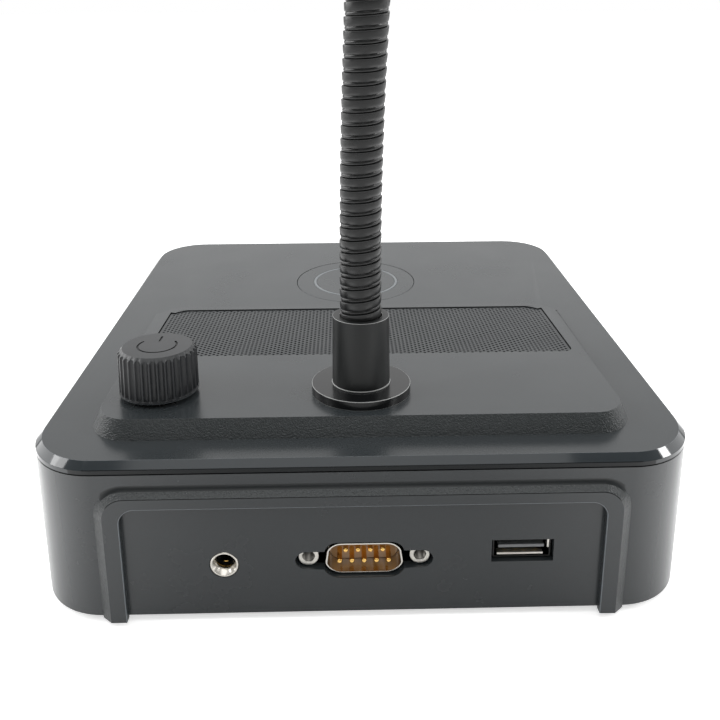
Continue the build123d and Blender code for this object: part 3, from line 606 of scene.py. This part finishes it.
def cover_finish(place, normal):
    """Dark below the rim; in the rim's band all round polished, with a painted dark reflection on its upright
    faces away from the corners; grained on the platform's slopes.
    """
    below = place.z < cover_top - 2.4 * MM and normal.z < -0.5
    if below or place.z < cover_top - 2.6 * MM:
        return inner_plastic
    if abs(normal.z) < 0.3 and abs(normal.x) > 0.25 and abs(place.x) > cover_high.x - corner_band:
        return glossy_edge
    beside = abs(place.x) > cover_high.x - rim_band
    at_end = not cover_low.y + rim_band < place.y < cover_high.y - rim_band
    if (beside or at_end) and -0.3 < normal.z < 0.8:
        return glossy_edge if normal.z > 0.5 else painted_dark_reflection
    if is_slope(normal) and place.z > cover_top - 0.1 * MM:
        return grained_plastic
    return satin_plastic if normal.z > 0.5 else inner_plastic


# %% The edges of the top cover
def at_cover_rim(edge):
    return abs(middle(edge).z - rim_foot) < 0.02 * MM and edge.calc_face_angle(0) > 0.5


def at_straight_rim(edge):
    return at_cover_rim(edge) and min(abs(face.normal.x) for face in edge.link_faces) < 0.1


def at_top_level(edge):
    return abs(middle(edge).z - cover_top) < 0.02 * MM


def at_cover_top_edge(edge):
    glossy = [face for face in edge.link_faces if cover_finishes[face.material_index] == glossy_edge]
    return len(glossy) == 1 and at_top_level(edge)


def beside_platform_slope(edge):
    return len([face for face in edge.link_faces if is_slope(face.normal)]) == 1


def at_platform_crest(edge):
    return beside_platform_slope(edge) and middle(edge).z > cover_top + 0.3 * MM


def at_platform_foot(edge):
    return beside_platform_slope(edge) and at_top_level(edge) and edge.calc_face_angle(0) > 0.3


cover = copy_of("top_cover", "cover_shell")
give_finishes(cover, cover_finishes, cover_finish)

# %% Wider corners for the platform
platform_half, platform_back, platform_front = cover_high.x - 12.3 * MM, 68.7, -11.1
old_corner, wider = 6 * MM, 3.5 * MM
for vertex in cover.data.vertices:
    side = math.copysign(1, vertex.co.x)
    for end, edge_y in ((1, platform_back * MM), (-1, platform_front * MM)):
        old_middle = Vector((side * (platform_half - old_corner), edge_y - end * old_corner))
        reach = vertex.co.xy - old_middle
        beyond = reach.x * side > -1e-6 and reach.y * end > -1e-6
        if beyond and 2 * MM < reach.length < old_corner + 0.3 * MM and vertex.co.z > cover_top - 0.1 * MM:
            new_middle = old_middle - Vector((side, end)) * wider
            vertex.co.xy = new_middle + reach * ((reach.length + wider) / reach.length)

# %% The cover's rounded edges
# Painted light on the cover: a painted dark reflection on the straight rim's bevel, and a painted highlight
# along the polished rim's top edge and the platform's foot.
soften(cover, 0.35, 3, at_straight_rim, painted_dark_reflection)
soften(cover, 0.35, 3, at_cover_rim)
soften(cover, 0.16, 2, at_cover_top_edge, painted_highlight)
soften(cover, 0.4, 3, at_platform_crest)
soften(cover, 0.1, 1, at_platform_foot, painted_highlight)
round_edges(cover, 0.2, 3, 28)
smooth_flats(cover, 40)
settle(cover, "base", ["top_cover"])

# %% [markdown]
# ## What stands on the platform
# The platform slopes gently up towards the rear. Everything on it stands square to that slope, so each
# piece is made upright at the world's middle and then turned and moved onto the platform.

# %% Places on the platform
platform_slope = 0.05527
neck_y = 52.5
platform_tilt = math.atan(platform_slope)
platform_normal = Vector((0, -platform_slope, 1)).normalized()


def on_platform(x, y, lift=0.0):
    """A place in metres, from millimetres across, along and above the platform."""
    foot = Vector((x, y, cover_height + (y - platform_front) * platform_slope))
    return (foot + platform_normal * lift) * MM


def stand_on_platform(piece, x, y, lift=0.0):
    piece.rotation_euler = (platform_tilt, 0, 0)
    piece.location = on_platform(x, y, lift)
    apply_place(piece)


print("the neck's foot is at", tuple(round(c, 4) for c in on_platform(0, neck_y)))

# %% [markdown]
# ## Speaker grille
# The grille is a thin steel plate with about 2600 fine holes in staggered columns. One small cell with one
# hole is made: the cell's border and an eight-sided hole are bridged. Its neighbour has its hole half a
# pitch further. The pair is repeated by two Array modifiers, the border is drawn out to the plate's rounded
# outline, and the sheet gets its thickness last.

# %% One pair of cells
column_pitch = 1.09 * MM
hole_pitch = 1.47 * MM
hole_radius = 0.39 * MM
half_side = math.radians(22.5)


def add_cell(x, hole_shift):
    """A ring of faces between a hole with eight sides and the cell's border."""
    made_before = len(bmesh.from_edit_mesh(grille.data).verts)
    half_x, half_y = column_pitch / 2, hole_pitch / 2
    border = [(1, 0), (1, 1), (0, 1), (-1, 1), (-1, 0), (-1, -1), (0, -1), (1, -1)]
    bpy.ops.mesh.select_all(action="DESELECT")
    for radius, y in ((hole_radius, hole_shift), (1, 0)):
        bpy.ops.mesh.primitive_circle_add(vertices=8, radius=radius, location=(x, y, 0),
                                          rotation=(0, 0, half_side))
    shape = bmesh.from_edit_mesh(grille.data)
    shape.verts.ensure_lookup_table()
    for vertex in shape.verts:
        if vertex.select:
            turn = math.atan2(vertex.co.y, vertex.co.x - x) - half_side
            side_x, side_y = border[round(turn / (math.pi / 4)) % 8]
            vertex.co = (x + side_x * half_x, side_y * half_y, 0)
    for vertex in shape.verts[made_before:]:
        vertex.select_set(True)
    shape.select_flush(True)
    bmesh.update_edit_mesh(grille.data)
    bpy.ops.mesh.bridge_edge_loops()


grille = add(bpy.ops.mesh.primitive_circle_add, "perforated_grille", vertices=3)
open_all(grille)
bpy.ops.mesh.delete(type="VERT")
add_cell(-column_pitch / 2, hole_pitch / 4)
add_cell(column_pitch / 2, -hole_pitch / 4)
leave_edit()
print("one pair of cells:", len(grille.data.polygons), "faces")

# %% Repeat the pair over the hole field
pairs, rows = 53, 25
for count, step in ((pairs, (2 * column_pitch, 0, 0)), (rows, (0, hole_pitch, 0))):
    modify(grille, "ARRAY", count=count, use_relative_offset=False, use_constant_offset=True,
           constant_offset_displace=step, use_merge_vertices=True, merge_threshold=1e-5)
grille.location = (-(pairs - 1) * column_pitch, -(rows - 1) * hole_pitch / 2, 0)
apply_place(grille)
print("the hole field has", len(grille.data.polygons), "faces")

# %% Draw the border out to the rounded plate, and fold it down
plate_x, plate_y, plate_corner = 58.35 * MM, 18.9 * MM, 1.2 * MM
plate_fold, plate_thickness, plate_sunk = 0.9 * MM, 0.45 * MM, 0.32
field_x, field_y = pairs * column_pitch, rows * hole_pitch / 2


def to_outline(place):
    """Straight out to the plate's outline, or to the round of its corner."""
    inner_x, inner_y = plate_x - plate_corner, plate_y - plate_corner
    if abs(place.x) <= inner_x:
        return Vector((place.x, math.copysign(plate_y, place.y), 0))
    if abs(place.y) <= inner_y:
        return Vector((math.copysign(plate_x, place.x), place.y, 0))
    core = Vector((math.copysign(inner_x, place.x), math.copysign(inner_y, place.y), 0))
    return core + (place - core).normalized() * plate_corner


def at_field_border(edge):
    place = middle(edge)
    return abs(abs(place.x) - field_x) < 1e-6 or abs(abs(place.y) - field_y) < 1e-6


pick(grille, "edges", at_field_border)
bpy.ops.mesh.extrude_edges_move()
shape = bmesh.from_edit_mesh(grille.data)
for vertex in shape.verts:
    if vertex.select:
        vertex.co = to_outline(vertex.co)
bmesh.update_edit_mesh(grille.data)
bpy.ops.mesh.extrude_edges_move(TRANSFORM_OT_translate={"value": (0, 0, -plate_fold)})
leave_edit()
mend_normals(grille)
modify(grille, "SOLIDIFY", thickness=plate_thickness, offset=-1)
wear(grille, grille_paint)
stand_on_platform(grille, 0, 10.9, -plate_sunk)
settle(grille, "base", ["speaker_grille"])

# %% [markdown]
# ## Turned parts
# The collar, the flange and other round parts are turned on a lathe. Each starts as a circle with as many
# points as the part's outline has corners; the points are moved to the outline's corners, and the outline
# is spun round.

# %% Spin an outline into a turned part
def outline_loop(name, outline):
    """outline lists (radius, height) corners in millimetres, round the cut through one side of the part."""
    piece = add(bpy.ops.mesh.primitive_circle_add, name, vertices=len(outline))
    for vertex, (radius, height) in zip(piece.data.vertices, outline):
        vertex.co = (radius * MM, 0, height * MM)
    return piece


def spin_round(piece, steps, angle):
    open_all(piece)
    bpy.ops.mesh.spin(steps=steps, angle=angle, center=(0, 0, 0), axis=(0, 0, 1))
    leave_edit()


def turned(name, outline, material, segments, round_width=0.0, worn=None):
    piece = outline_loop(name, outline)
    spin_round(piece, segments, math.tau)
    mend_normals(piece)
    wear(piece, material)
    if worn:
        wear(piece, worn)
    if round_width:
        round_edges(piece, round_width, worn=1 if worn else -1)
    smooth_flats(piece)
    return piece


# %% The neck's flange and collar
flange_outline = [(4.6, 0), (12, 0), (12, 2.2), (4.6, 2.2)]
flange = turned("neck_flange_black", flange_outline, flange_black, 128, 0.12, worn_edge)
stand_on_platform(flange, 0, neck_y)
settle(flange, "base", ["neck_flange"])

collar_floor = 14.2
collar_outline = [(2.6, 2.2), (7.14, 2.2), (7.14, 2.46), (6.98, 2.46), (6.78, 19.2), (5.1, 19.2),
                  (5.1, collar_floor), (2.6, collar_floor)]
collar = turned("neck_collar_black", collar_outline, collar_black, 128, 0.16, worn_edge)
stand_on_platform(collar, 0, neck_y)
settle(collar, "base", ["neck_collar"])

# %% [markdown]
# ## Volume knob
# The knob is a moulded drum with 32 scalloped flutes for the fingers. Its top edge is a bevel of 1.25
# millimetres, and the flutes run out into it, which gives the crown of small round notches. Below, a thin
# plain rim closes them.

# %% The drum with its rows of points
knob_x, knob_lift = 49.0, 1.1
knob_height, knob_radius, knob_bevel = 11.0, 9.48, 1.25
groove_depth, groove_half = 0.62, 0.37
flutes, points_per_flute = 32, 10
knob = add(bpy.ops.mesh.primitive_cylinder_add, "fluted_knob", vertices=flutes * points_per_flute,
           radius=knob_radius * MM, depth=knob_height * MM, location=(0, 0, knob_height / 2 * MM))


def add_rows(piece, heights):
    """Cuts a row of edges all round the piece at each height."""
    for height in heights:
        open_all(piece)
        bpy.ops.mesh.bisect(plane_co=(0, 0, height), plane_no=(0, 0, 1))
    leave_edit()


bevel_rows = [knob_bevel, 1.1, 0.98, 0.86, 0.74, 0.62]
add_rows(knob, [height * MM for height in [0.45, 0.62, 4.0] + [knob_height - depth for depth in bevel_rows]])


def knob_reach(turn, height):
    """How far out the drum's skin is, at a turn round the axis and a height, in millimetres."""
    if height > knob_height - 0.01:
        return knob_radius - knob_bevel
    bevel = min(knob_radius, knob_radius - knob_bevel + (knob_height - height))
    if height < 0.5:
        return knob_radius - 0.02
    across = (turn * flutes / math.tau) % 1 - 0.5
    groove = groove_depth * math.sqrt(max(0.0, 1 - (across / groove_half) ** 2))
    return min(bevel, knob_radius - 0.08 - 0.1 * height / knob_height - groove)


for vertex in knob.data.vertices:
    turn = math.atan2(vertex.co.y, vertex.co.x)
    reach = knob_reach(turn, vertex.co.z / MM) * MM
    vertex.co.x, vertex.co.y = reach * math.cos(turn), reach * math.sin(turn)
print("the knob's drum has", len(knob.data.polygons), "faces")

# %% [markdown]
# The top carries a plain generic mark: one long arc and a pointer line, cut into the plastic, with painted
# shade inside the cuts. The arc's cutter is a small square spun round the axis, the pointer's is a bar, and a
# Boolean modifier takes both away.

# %% Cut the arc and the pointer
# The finish inside the cuts is painted shade.
engraving_shade = finish("engraving_painted_shade", (14, 15, 16), 0.5, 0.6, 1800, 10)
wear(knob, knob_plastic, painted_highlight)
# The knob's bottom edge is rounded and carries a painted highlight.
soften(knob, 0.14, 2, lambda edge: middle(edge).z < 0.01 * MM, painted_highlight)


def cut_with(piece, cutter):
    wear(cutter, engraving_shade)
    modify(piece, "BOOLEAN", object=cutter, operation="DIFFERENCE", solver="EXACT", material_mode="TRANSFER")
    bpy.data.objects.remove(cutter)


mark_width, arc_radius, arc_turn, arc_start = 0.5, 4.6, math.radians(250), math.radians(215)
arc_cutter = add(bpy.ops.mesh.primitive_plane_add, "arc_cutter", size=mark_width * MM,
                 rotation=(math.radians(90), 0, 0), location=(arc_radius * MM, 0, 0))
spin_round(arc_cutter, 40, arc_turn)
arc_cutter.rotation_euler = (0, 0, arc_start)
arc_cutter.location = (0, 0, knob_height * MM)
apply_place(arc_cutter)
mend_normals(arc_cutter)
cut_with(knob, arc_cutter)

pointer_size = (mark_width, 3.4, mark_width)
cut_with(knob, add_bar("pointer_cutter", pointer_size, (0, -4.2 * MM, knob_height * MM)))
round_edges(knob, 0.06, 1, 50)
smooth_flats(knob, 34)
stand_on_platform(knob, knob_x, neck_y, knob_lift)
settle(knob, "volume_knob", ["volume_knob"])

# %% [markdown]
# ## Talk button
# The button is a flat round key, nearly flush, with a pale ring let into it that can light up. Both come
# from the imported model: the key becomes 0.2 millimetres wider all round, and both get rounded edges.

# %% The button and its light ring
button_low, button_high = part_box("talk_button")
button_middle = ((button_low + button_high) / 2).xy
key_radius, key_wider = 20.1, 20.3
button = copy_of("talk_button", "talk_key")
for vertex in button.data.vertices:
    across = vertex.co.xy - button_middle
    if vertex.co.z > 36 * MM and abs(across.length - key_radius * MM) < 0.1 * MM:
        vertex.co.xy = button_middle + across * (key_wider / key_radius)
finish_edges(button, button_plastic, 0.2, 3)
settle(button, "talk_button", ["talk_button"])

ring = copy_of("light_ring", "light_ring_pale")
wear(ring, ring_light)
round_edges(ring, 0.08)
smooth(ring)
settle(ring, "talk_button", ["light_ring"])

# %% [markdown]
# ## Gooseneck
# A gooseneck is wound from steel strip: each turn is a shallow cup, widest at its upper lip, and the turn
# above sits in it. One cut through a turn is drawn as a closed outline, the Screw modifier winds it
# upwards, and the Curve modifier bends the wound tube along the neck's line. The neck is made in three
# lengths.

# %% The neck's line: its tilt changes evenly between stops counted in turns
turn_pitch = 3.0
neck_turns = 65
tilt_stops = [(0, 3.16), (4, 3.16), (21, -5.5), (24, -5.0), (36, 10.0), (39, 14.0), (51, 30.0), (54, 34.0),
              (61, 48.0), (neck_turns, 48.0)]


def forward_tilt(turn):
    for (first, before), (last, after) in zip(tilt_stops, tilt_stops[1:]):
        if turn <= last:
            return math.radians(before + (after - before) * (turn - first) / (last - first))


def heading(turn):
    """The neck's direction; it also leans sideways by 2.4 degrees, from turn 4 to turn 21."""
    lean = math.radians(2.4 * min(1.0, max(0.0, (turn - 4) / 17)))
    tilt = forward_tilt(turn)
    return Vector((-math.sin(lean), -math.sin(tilt) * math.cos(lean), math.cos(tilt) * math.cos(lean)))


neck_line = [on_platform(0, neck_y, collar_floor)]
for half_turn in range(2 * neck_turns):
    neck_line.append(neck_line[-1] + heading((half_turn + 0.5) / 2) * (turn_pitch / 2 * MM))
print("the neck ends at", tuple(round(c, 4) for c in neck_line[-1]))

# %% The line as a curve that can bend other pieces
line_data = bpy.data.curves.new("neck_line", "CURVE")
line_data.dimensions = "3D"
line_data.twist_mode = "MINIMUM"
spline = line_data.splines.new("POLY")
spline.points.add(len(neck_line) - 1)
for point, place in zip(spline.points, neck_line):
    point.co = (*place, 1)
line_guide = bpy.data.objects.new("neck_line", line_data)
bpy.context.scene.collection.objects.link(line_guide)


def bend_along_neck(piece):
    modify(piece, "CURVE", object=line_guide, deform_axis="POS_Z")


# %% One cut through a turn, wound into a length of neck
cup_outline = [(4.15, -0.28), (4.5, -0.28), (4.66, -0.1), (4.72, 0.15), (4.7, 0.4), (4.6, 0.6), (4.66, 0.64),
               (4.8, 0.72), (4.88, 0.88), (4.95, 1.5), (5, 2.4), (4.98, 2.56), (4.88, 2.66), (4.62, 2.69),
               (4.15, 2.69)]


def wound_length(name, first, turns):
    piece = outline_loop(name, cup_outline)
    modify(piece, "SCREW", screw_offset=turn_pitch * MM, iterations=turns, steps=40, render_steps=40, axis="Z")
    open_all(piece)
    bpy.ops.mesh.fill_holes(sides=0)
    leave_edit()
    mend_normals(piece)
    piece.location.z = first * turn_pitch * MM
    apply_place(piece)
    bend_along_neck(piece)
    wear(piece, neck_black)
    smooth(piece, 32)
    return piece


def bend_over(piece, nodes):
    """Bakes the piece's place into its mesh and hides the nodes it stands for."""
    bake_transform(piece)
    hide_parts(*nodes)
    print(f"{piece.name}: {len(piece.data.polygons)} faces")


neck_lengths = [
    ("lower", 0, 30, ("base", "neck_middle"), (30, 60),
     ("gooseneck_lower", "gooseneck_bend_low", "gooseneck_middle")),
    ("middle", 30, 15, ("neck_middle", "neck_upper"), (60, 90), ("gooseneck_bend_side", "gooseneck_upper")),
    ("upper", 45, 20, ("neck_upper", "microphone"), (90, 120), ("gooseneck_bend_high", "gooseneck_tip")),
]
for name, first, turns, bodies, zone, nodes in neck_lengths:
    bend_over(wound_length(f"neck_turns_{name}", first, turns), nodes)

# %% [markdown]
# The microphone's lead runs inside the neck. It is a rubber tube, drawn out ring by ring, in three lengths
# that bend with the neck's own.

# %% The lead inside the neck
for name, first, turns, bodies, zone, nodes in neck_lengths:
    lead = add(bpy.ops.mesh.primitive_circle_add, f"neck_lead_{name}", vertices=20, radius=2.0 * MM,
               fill_type="NGON", location=(0, 0, first * turn_pitch * MM))
    open_all(lead)
    for step in range(turns):
        bpy.ops.mesh.extrude_region_move(TRANSFORM_OT_translate={"value": (0, 0, turn_pitch * MM)})
    leave_edit()
    mend_normals(lead)
    bend_along_neck(lead)
    wear(lead, lead_rubber)
    smooth(lead, 40)
    bend_over(lead, ["neck_cable"])
bpy.data.objects.remove(line_guide)

# %% [markdown]
# ## Microphone head
# The head sits on the neck's last heading: a turned ferrule, a slotted tube with a woven mesh behind its
# slots, and a turned front cap. The photo ends below it, so its forms are kept plain. Round pieces are made
# upright and then stood on the neck's end.

# %% The place of the head
head_up = heading(neck_turns)
head_across = (Vector((1, 0, 0)) - head_up * head_up.x).normalized()
head_axes = Matrix((head_across, head_up.cross(head_across), head_up)).transposed()
head_place = Matrix.Translation(neck_line[-1]) @ head_axes.to_4x4()


def stand_on_neck(piece):
    piece.matrix_world = head_place
    apply_place(piece)


# %% Ferrule and front cap
ferrule_outline = [(5.3, -4), (5.5, -4), (6.6, -2.8), (6.6, 2.6), (6.35, 2.8), (6.35, 3.2), (6.6, 3.4),
                   (6.6, 7), (2.6, 7), (2.6, 0), (5.3, 0)]
ferrule = turned("head_ferrule_black", ferrule_outline, collar_black, 96, 0.12, worn_edge)
stand_on_neck(ferrule)
settle(ferrule, "microphone", ["head_ferrule"])

cap_outline = [(0, 49), (6.9, 49), (6.9, 51), (8, 51), (8, 53), (6.8, 54.2), (6.2, 54.2), (5.9, 53.8),
               (5.5, 53.8), (5.2, 54.2), (0, 54.2)]
cap = turned("front_cap_black", cap_outline, collar_black, 96, 0.12)
stand_on_neck(cap)
settle(cap, "microphone", ["front_cap"])

# %% The slotted tube
housing = copy_of("head_housing", "head_housing_black")
finish_edges(housing, collar_black, 0.2)
settle(housing, "microphone", ["head_housing"])

# %% The woven mesh behind the slots
sleeve_foot, sleeve_height, weave_rows, weave_columns = 29.6 * MM, 19.4 * MM, 38, 84
sleeve = add(bpy.ops.mesh.primitive_cylinder_add, "head_mesh_woven", vertices=weave_columns, radius=6.68 * MM,
             depth=sleeve_height, end_fill_type="NOTHING", location=(0, 0, sleeve_foot + sleeve_height / 2))
add_rows(sleeve, [sleeve_foot + row * sleeve_height / weave_rows for row in range(1, weave_rows)])
modify(sleeve, "WIREFRAME", thickness=0.2 * MM, use_even_offset=False)
wear(sleeve, dull_steel)
smooth(sleeve, 60)
stand_on_neck(sleeve)
settle(sleeve, "microphone", ["head_mesh"])

# %% [markdown]
# ## Sockets on the rear wall
# From left to right: an audio jack with a nickel ring, a nine-pin serial connector between its two jack
# screws, and a data socket. Their shapes come from the imported model, and the small parts that catch the
# light are made again.

# %% Shells and insulator with rounded edges
# The data socket's shell gets a dark nickel, which is painted shade inside the socket.
rear_copies = [
    ("serial_shell", "serial_shell_nickel", bright_nickel, 0.12, "plated"),
    ("serial_insulator", "serial_insulator_tan", connector_brown, 0.1, "insulator_brown"),
    ("data_shell", "data_shell_shaded", shaded_nickel, 0.1, "plated"),
]
serial_z, shell_foot, shell_height = 15.6, 11.05 * MM, 9.1 * MM
shell_front, shell_mouth = 72.1 * MM, 77 * MM


def shape_shell(place):
    """The shell gets wider towards its top, its short sides bulge, and it is lower and stands out less."""
    if place.y > shell_front:
        rise = (place.z - shell_foot) / shell_height
        place.x += math.copysign((0.2 + 0.9 * rise) * MM, place.x)
        place.x *= 1 - 0.12 * (2 * rise - 1) ** 2
        place.z = 14.9 * MM + (place.z - serial_z * MM) * 0.845
    if place.y > shell_mouth:
        place.y -= 0.8 * MM


for node, name, material, width, slot in rear_copies:
    piece = copy_of(node, name)
    if node == "serial_shell":
        for vertex in piece.data.vertices:
            shape_shell(vertex.co)
    finish_edges(piece, material, width, 2, 35)
    settle(piece, "base", [node])

# %% The jack screws: nickel outside, painted shade in the bore
screw_low, screw_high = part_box("serial_jackscrews")
screw_x, screw_z = 12.5 * MM, (screw_low.z + screw_high.z) / 2
screw_end, screw_face, screw_bore = 76 * MM, 76.9 * MM, 1.4 * MM


# Faces in the bore and on its floor get a dark finish that is painted shade.
def screw_finish(place, normal):
    if abs(normal.y) > 0.9:
        dark = place.y < screw_end
    else:
        dark = math.hypot(abs(place.x) - screw_x, place.z - screw_z) < screw_bore
    return bore_painted_shade if dark else satin_nickel


jack_screws = copy_of("serial_jackscrews", "jack_screws_nickel")
give_finishes(jack_screws, [satin_nickel, bore_painted_shade], screw_finish)
for vertex in jack_screws.data.vertices:
    if vertex.co.y > screw_end:
        vertex.co.y = screw_face
round_edges(jack_screws, 0.3, 3, 35)
smooth_flats(jack_screws)
settle(jack_screws, "base", ["serial_jackscrews"])

# %% [markdown]
# Each jack screw is hollow and threaded inside. The thread's crests catch the light as fine rings, so a
# short sleeve with a zigzag bore is turned and set into each screw.

# %% The threads inside the jack screws
def face_rear(piece, place):
    """A part that was turned upright now points to the rear."""
    piece.rotation_euler = (math.radians(-90), 0, 0)
    piece.location = place
    apply_place(piece)


thread_pitch, crest, root = 0.38, 1.08, 1.3
thread_outline = [(1.36, 0), (1.36, -3.2), (root, -3.2)]
for step in range(8, 0, -1):
    thread_outline += [(crest, -thread_pitch * step + 0.1), (root, -thread_pitch * step + 0.28)]
for side, name in ((1, "screw_thread_left"), (-1, "screw_thread_right")):
    thread = turned(name, thread_outline, thread_nickel, 40)
    face_rear(thread, (side * screw_x, screw_face - 0.2 * MM, screw_z))
    settle(thread, "base")

# %% The data socket's tongue: a thin bar with four gold contacts below it
tongue_low, tongue_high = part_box("data_tongue")
tongue_middle = (tongue_low + tongue_high) / 2


def nickel_lip(name, size, across, out, height):
    lip = add_bar(name, size, (tongue_middle.x + across * MM, out * MM, height * MM))
    finish_edges(lip, satin_nickel, 0.12, 3, 35)
    settle(lip, "base")


tongue_length = (tongue_high.y - tongue_low.y) / MM + 0.4
tongue = add_bar("data_tongue_grey", (10.4, tongue_length, 0.8),
                 (tongue_middle.x, tongue_middle.y + 0.2 * MM, 17.0 * MM))
finish_edges(tongue, tongue_grey, 0.12, 3, 35)
settle(tongue, "base", ["data_tongue"])
nickel_lip("data_lip_nickel", (10.5, 1.6, 0.55), 0.35, 76, 15.4)
nickel_lip("data_side_nickel", (0.55, 1.4, 2.3), -5.95, 76.1, 18.0)
contacts = [
    add_bar("data_contact", (0.9, tongue_length - 2.4, 0.2),
            (tongue_middle.x + place * MM, tongue_middle.y, 16.5 * MM))
    for place in (-3.5, -1.0, 1.0, 3.5)
]
contact_row = join(contacts, "data_contacts_gold")
finish_edges(contact_row, pin_gold, 0.06, 2, 35)
settle(contact_row, "base")

# %% The jack's ring, turned, with a wide countersink
jack_x, jack_z = 31.2 * MM, 14.65 * MM
jack_outline = [(1.8, -2.4), (3.2, -2.4), (3.2, -0.15), (3.05, 0), (2.75, 0), (1.95, -1.1), (1.8, -1.4)]
jack_ring = turned("jack_ring_nickel", jack_outline, bright_nickel, 64, 0.05)
face_rear(jack_ring, (jack_x, wall_y, jack_z))
settle(jack_ring, "base", ["jack_ring"])

leaf_place = (jack_x, wall_y - 4.6 * MM, 13.4 * MM)
leaf = add_bar("jack_contact_leaf", (0.9, 4.0, 0.25), leaf_place, (math.radians(6), 0, 0))
finish_edges(leaf, pin_gold, 0.08, 2, 35)
settle(leaf, "base")

# %% The nine pins: rounded gold tips
pin_pitch, row_shift, pin_length, pin_tip = 2.77, 1.42, 9, 77.0
pin_radius, tip_round = 0.58, 0.42


def add_pin(x, z):
    pin = add(bpy.ops.mesh.primitive_cylinder_add, "serial_pin", vertices=20, radius=pin_radius * MM,
              depth=pin_length * MM, rotation=(math.radians(-90), 0, 0),
              location=(x, (pin_tip - pin_length / 2) * MM, z))
    pick(pin, "faces", lambda face: face.calc_center_median().y > (pin_tip - 0.1) * MM)
    bpy.ops.mesh.bevel(offset=tip_round * MM, segments=4, affect="EDGES")
    leave_edit()
    return pin


pins = []
for count, z in ((5, serial_z - row_shift), (4, serial_z + row_shift)):
    for i in range(count):
        pins.append(add_pin((i - (count - 1) / 2) * pin_pitch * MM, z * MM))
pin_row = join(pins, "serial_pins_gold")
mend_normals(pin_row)
wear(pin_row, pin_gold)
smooth(pin_row, 40)
settle(pin_row, "base", ["serial_pins"])

# %% [markdown]
# ## Floor, light and background
# The object stands on a plain pale floor in a bright even room. The world gives soft light, less of it from
# the photographer's side and from low down, and large soft lamps shape the round parts. The camera sees the
# world white.

# %% The floor
def rays_and_place(tree, coordinates):
    """What kind of ray it is, and the place or direction whole and in its three parts."""
    rays = tree.nodes.new("ShaderNodeLightPath").outputs
    place = tree.nodes.new("ShaderNodeTexCoord").outputs[coordinates]
    parts = tree.nodes.new("ShaderNodeSeparateXYZ")
    tree.links.new(place, parts.inputs["Vector"])
    return rays, place, parts.outputs


floor = add(bpy.ops.mesh.primitive_circle_add, "pale_floor", vertices=96, radius=6.0, fill_type="NGON")
floor_material = bpy.data.materials.new("pale_floor")
floor_material.use_nodes = True
tree = floor_material.node_tree
shader = tree.nodes["Principled BSDF"]
shader.inputs["Base Color"].default_value = (0.9, 0.9, 0.9, 1)
shader.inputs["Roughness"].default_value = 0.85
rays, place, parts = rays_and_place(tree, "Object")
reach = tree.nodes.new("ShaderNodeVectorMath")
reach.operation = "LENGTH"
tree.links.new(place, reach.inputs[0])
aside = ranged(tree, math_node(tree, "ABSOLUTE", parts["X"], 0.0), 0.03, 0.12, 0.0, 1.4)
near = ranged(tree, reach.outputs["Value"], 0.17, 0.26, 1.0, 0.0)
mirrored = math_node(tree, "MULTIPLY", rays["Is Glossy Ray"], math_node(tree, "MULTIPLY", aside, near))
watched = math_node(tree, "MULTIPLY", rays["Is Camera Ray"], 0.6)
whitening = tree.nodes.new("ShaderNodeEmission")
tree.links.new(math_node(tree, "MAXIMUM", mirrored, watched), whitening.inputs["Strength"])
together = tree.nodes.new("ShaderNodeAddShader")
tree.links.new(shader.outputs[0], together.inputs[0])
tree.links.new(whitening.outputs[0], together.inputs[1])
tree.links.new(together.outputs[0], tree.nodes["Material Output"].inputs["Surface"])
wear(floor, floor_material)
print("the floor is a disc", round(floor.dimensions.x, 1), "m wide")

# %% The room's light
world = bpy.data.worlds.new("bright_room")
bpy.context.scene.world = world
world.use_nodes = True
tree = world.node_tree
background = tree.nodes["Background"]
background.inputs["Color"].default_value = (1, 1, 1, 1)
rays, _, parts = rays_and_place(tree, "Generated")
from_photographer = ranged(tree, parts["Y"], -0.15, 0.85, 1.0, 0.3)
level = ranged(tree, rays["Is Glossy Ray"], 0, 1, 0.62, 1.0, soft=False)
above_horizon = ranged(tree, parts["Z"], 0.15, 0.5, 0.6, 1.0, soft=False)
dimmed = math_node(tree, "MULTIPLY", level, from_photographer)
dimmed = math_node(tree, "MULTIPLY", dimmed, above_horizon)
seen_rays = math_node(tree, "MAXIMUM", rays["Is Camera Ray"], rays["Is Transmission Ray"])
tree.links.new(math_node(tree, "MAXIMUM", dimmed, seen_rays), background.inputs["Strength"])


def soft_lamp(name, place, target, width, height, power):
    lamp = bpy.data.lights.new(name, "AREA")
    lamp.shape = "RECTANGLE"
    lamp.size = width
    lamp.size_y = height
    lamp.energy = power
    holder = bpy.data.objects.new(name, lamp)
    bpy.context.scene.collection.objects.link(holder)
    holder.location = place
    holder.rotation_euler = (Vector(target) - Vector(place)).to_track_quat("-Z", "Y").to_euler()
    holder.visible_camera = False


soft_lamp("window_left", (1.25, -0.4, 0.5), (0, 0, 0.05), 1.3, 0.9, 10.0)
soft_lamp("window_right", (-1.25, -0.4, 0.5), (0, 0, 0.05), 1.2, 0.9, 5.8)
soft_lamp("pane_left", (1.15, 0.22, 0.83), (0.068, 0.073, 0.04), 0.5, 0.36, 4.0)
soft_lamp("pane_right", (-1.23, 0.25, 0.8), (-0.068, 0.073, 0.04), 0.26, 0.28, 5.0)
soft_lamp("window_far", (0, -1.5, 0.8), (0, 0, 0.05), 1.8, 0.9, 1.8)
soft_lamp("ceiling", (0, 0.05, 1.1), (0, 0, 0), 1.2, 1.3, 5.0)
soft_lamp("room_behind_camera", (0, 1.1, 1.1), (0, 0, 0.05), 0.9, 0.7, 2.4)
bpy.context.scene.view_settings.view_transform = "Standard"
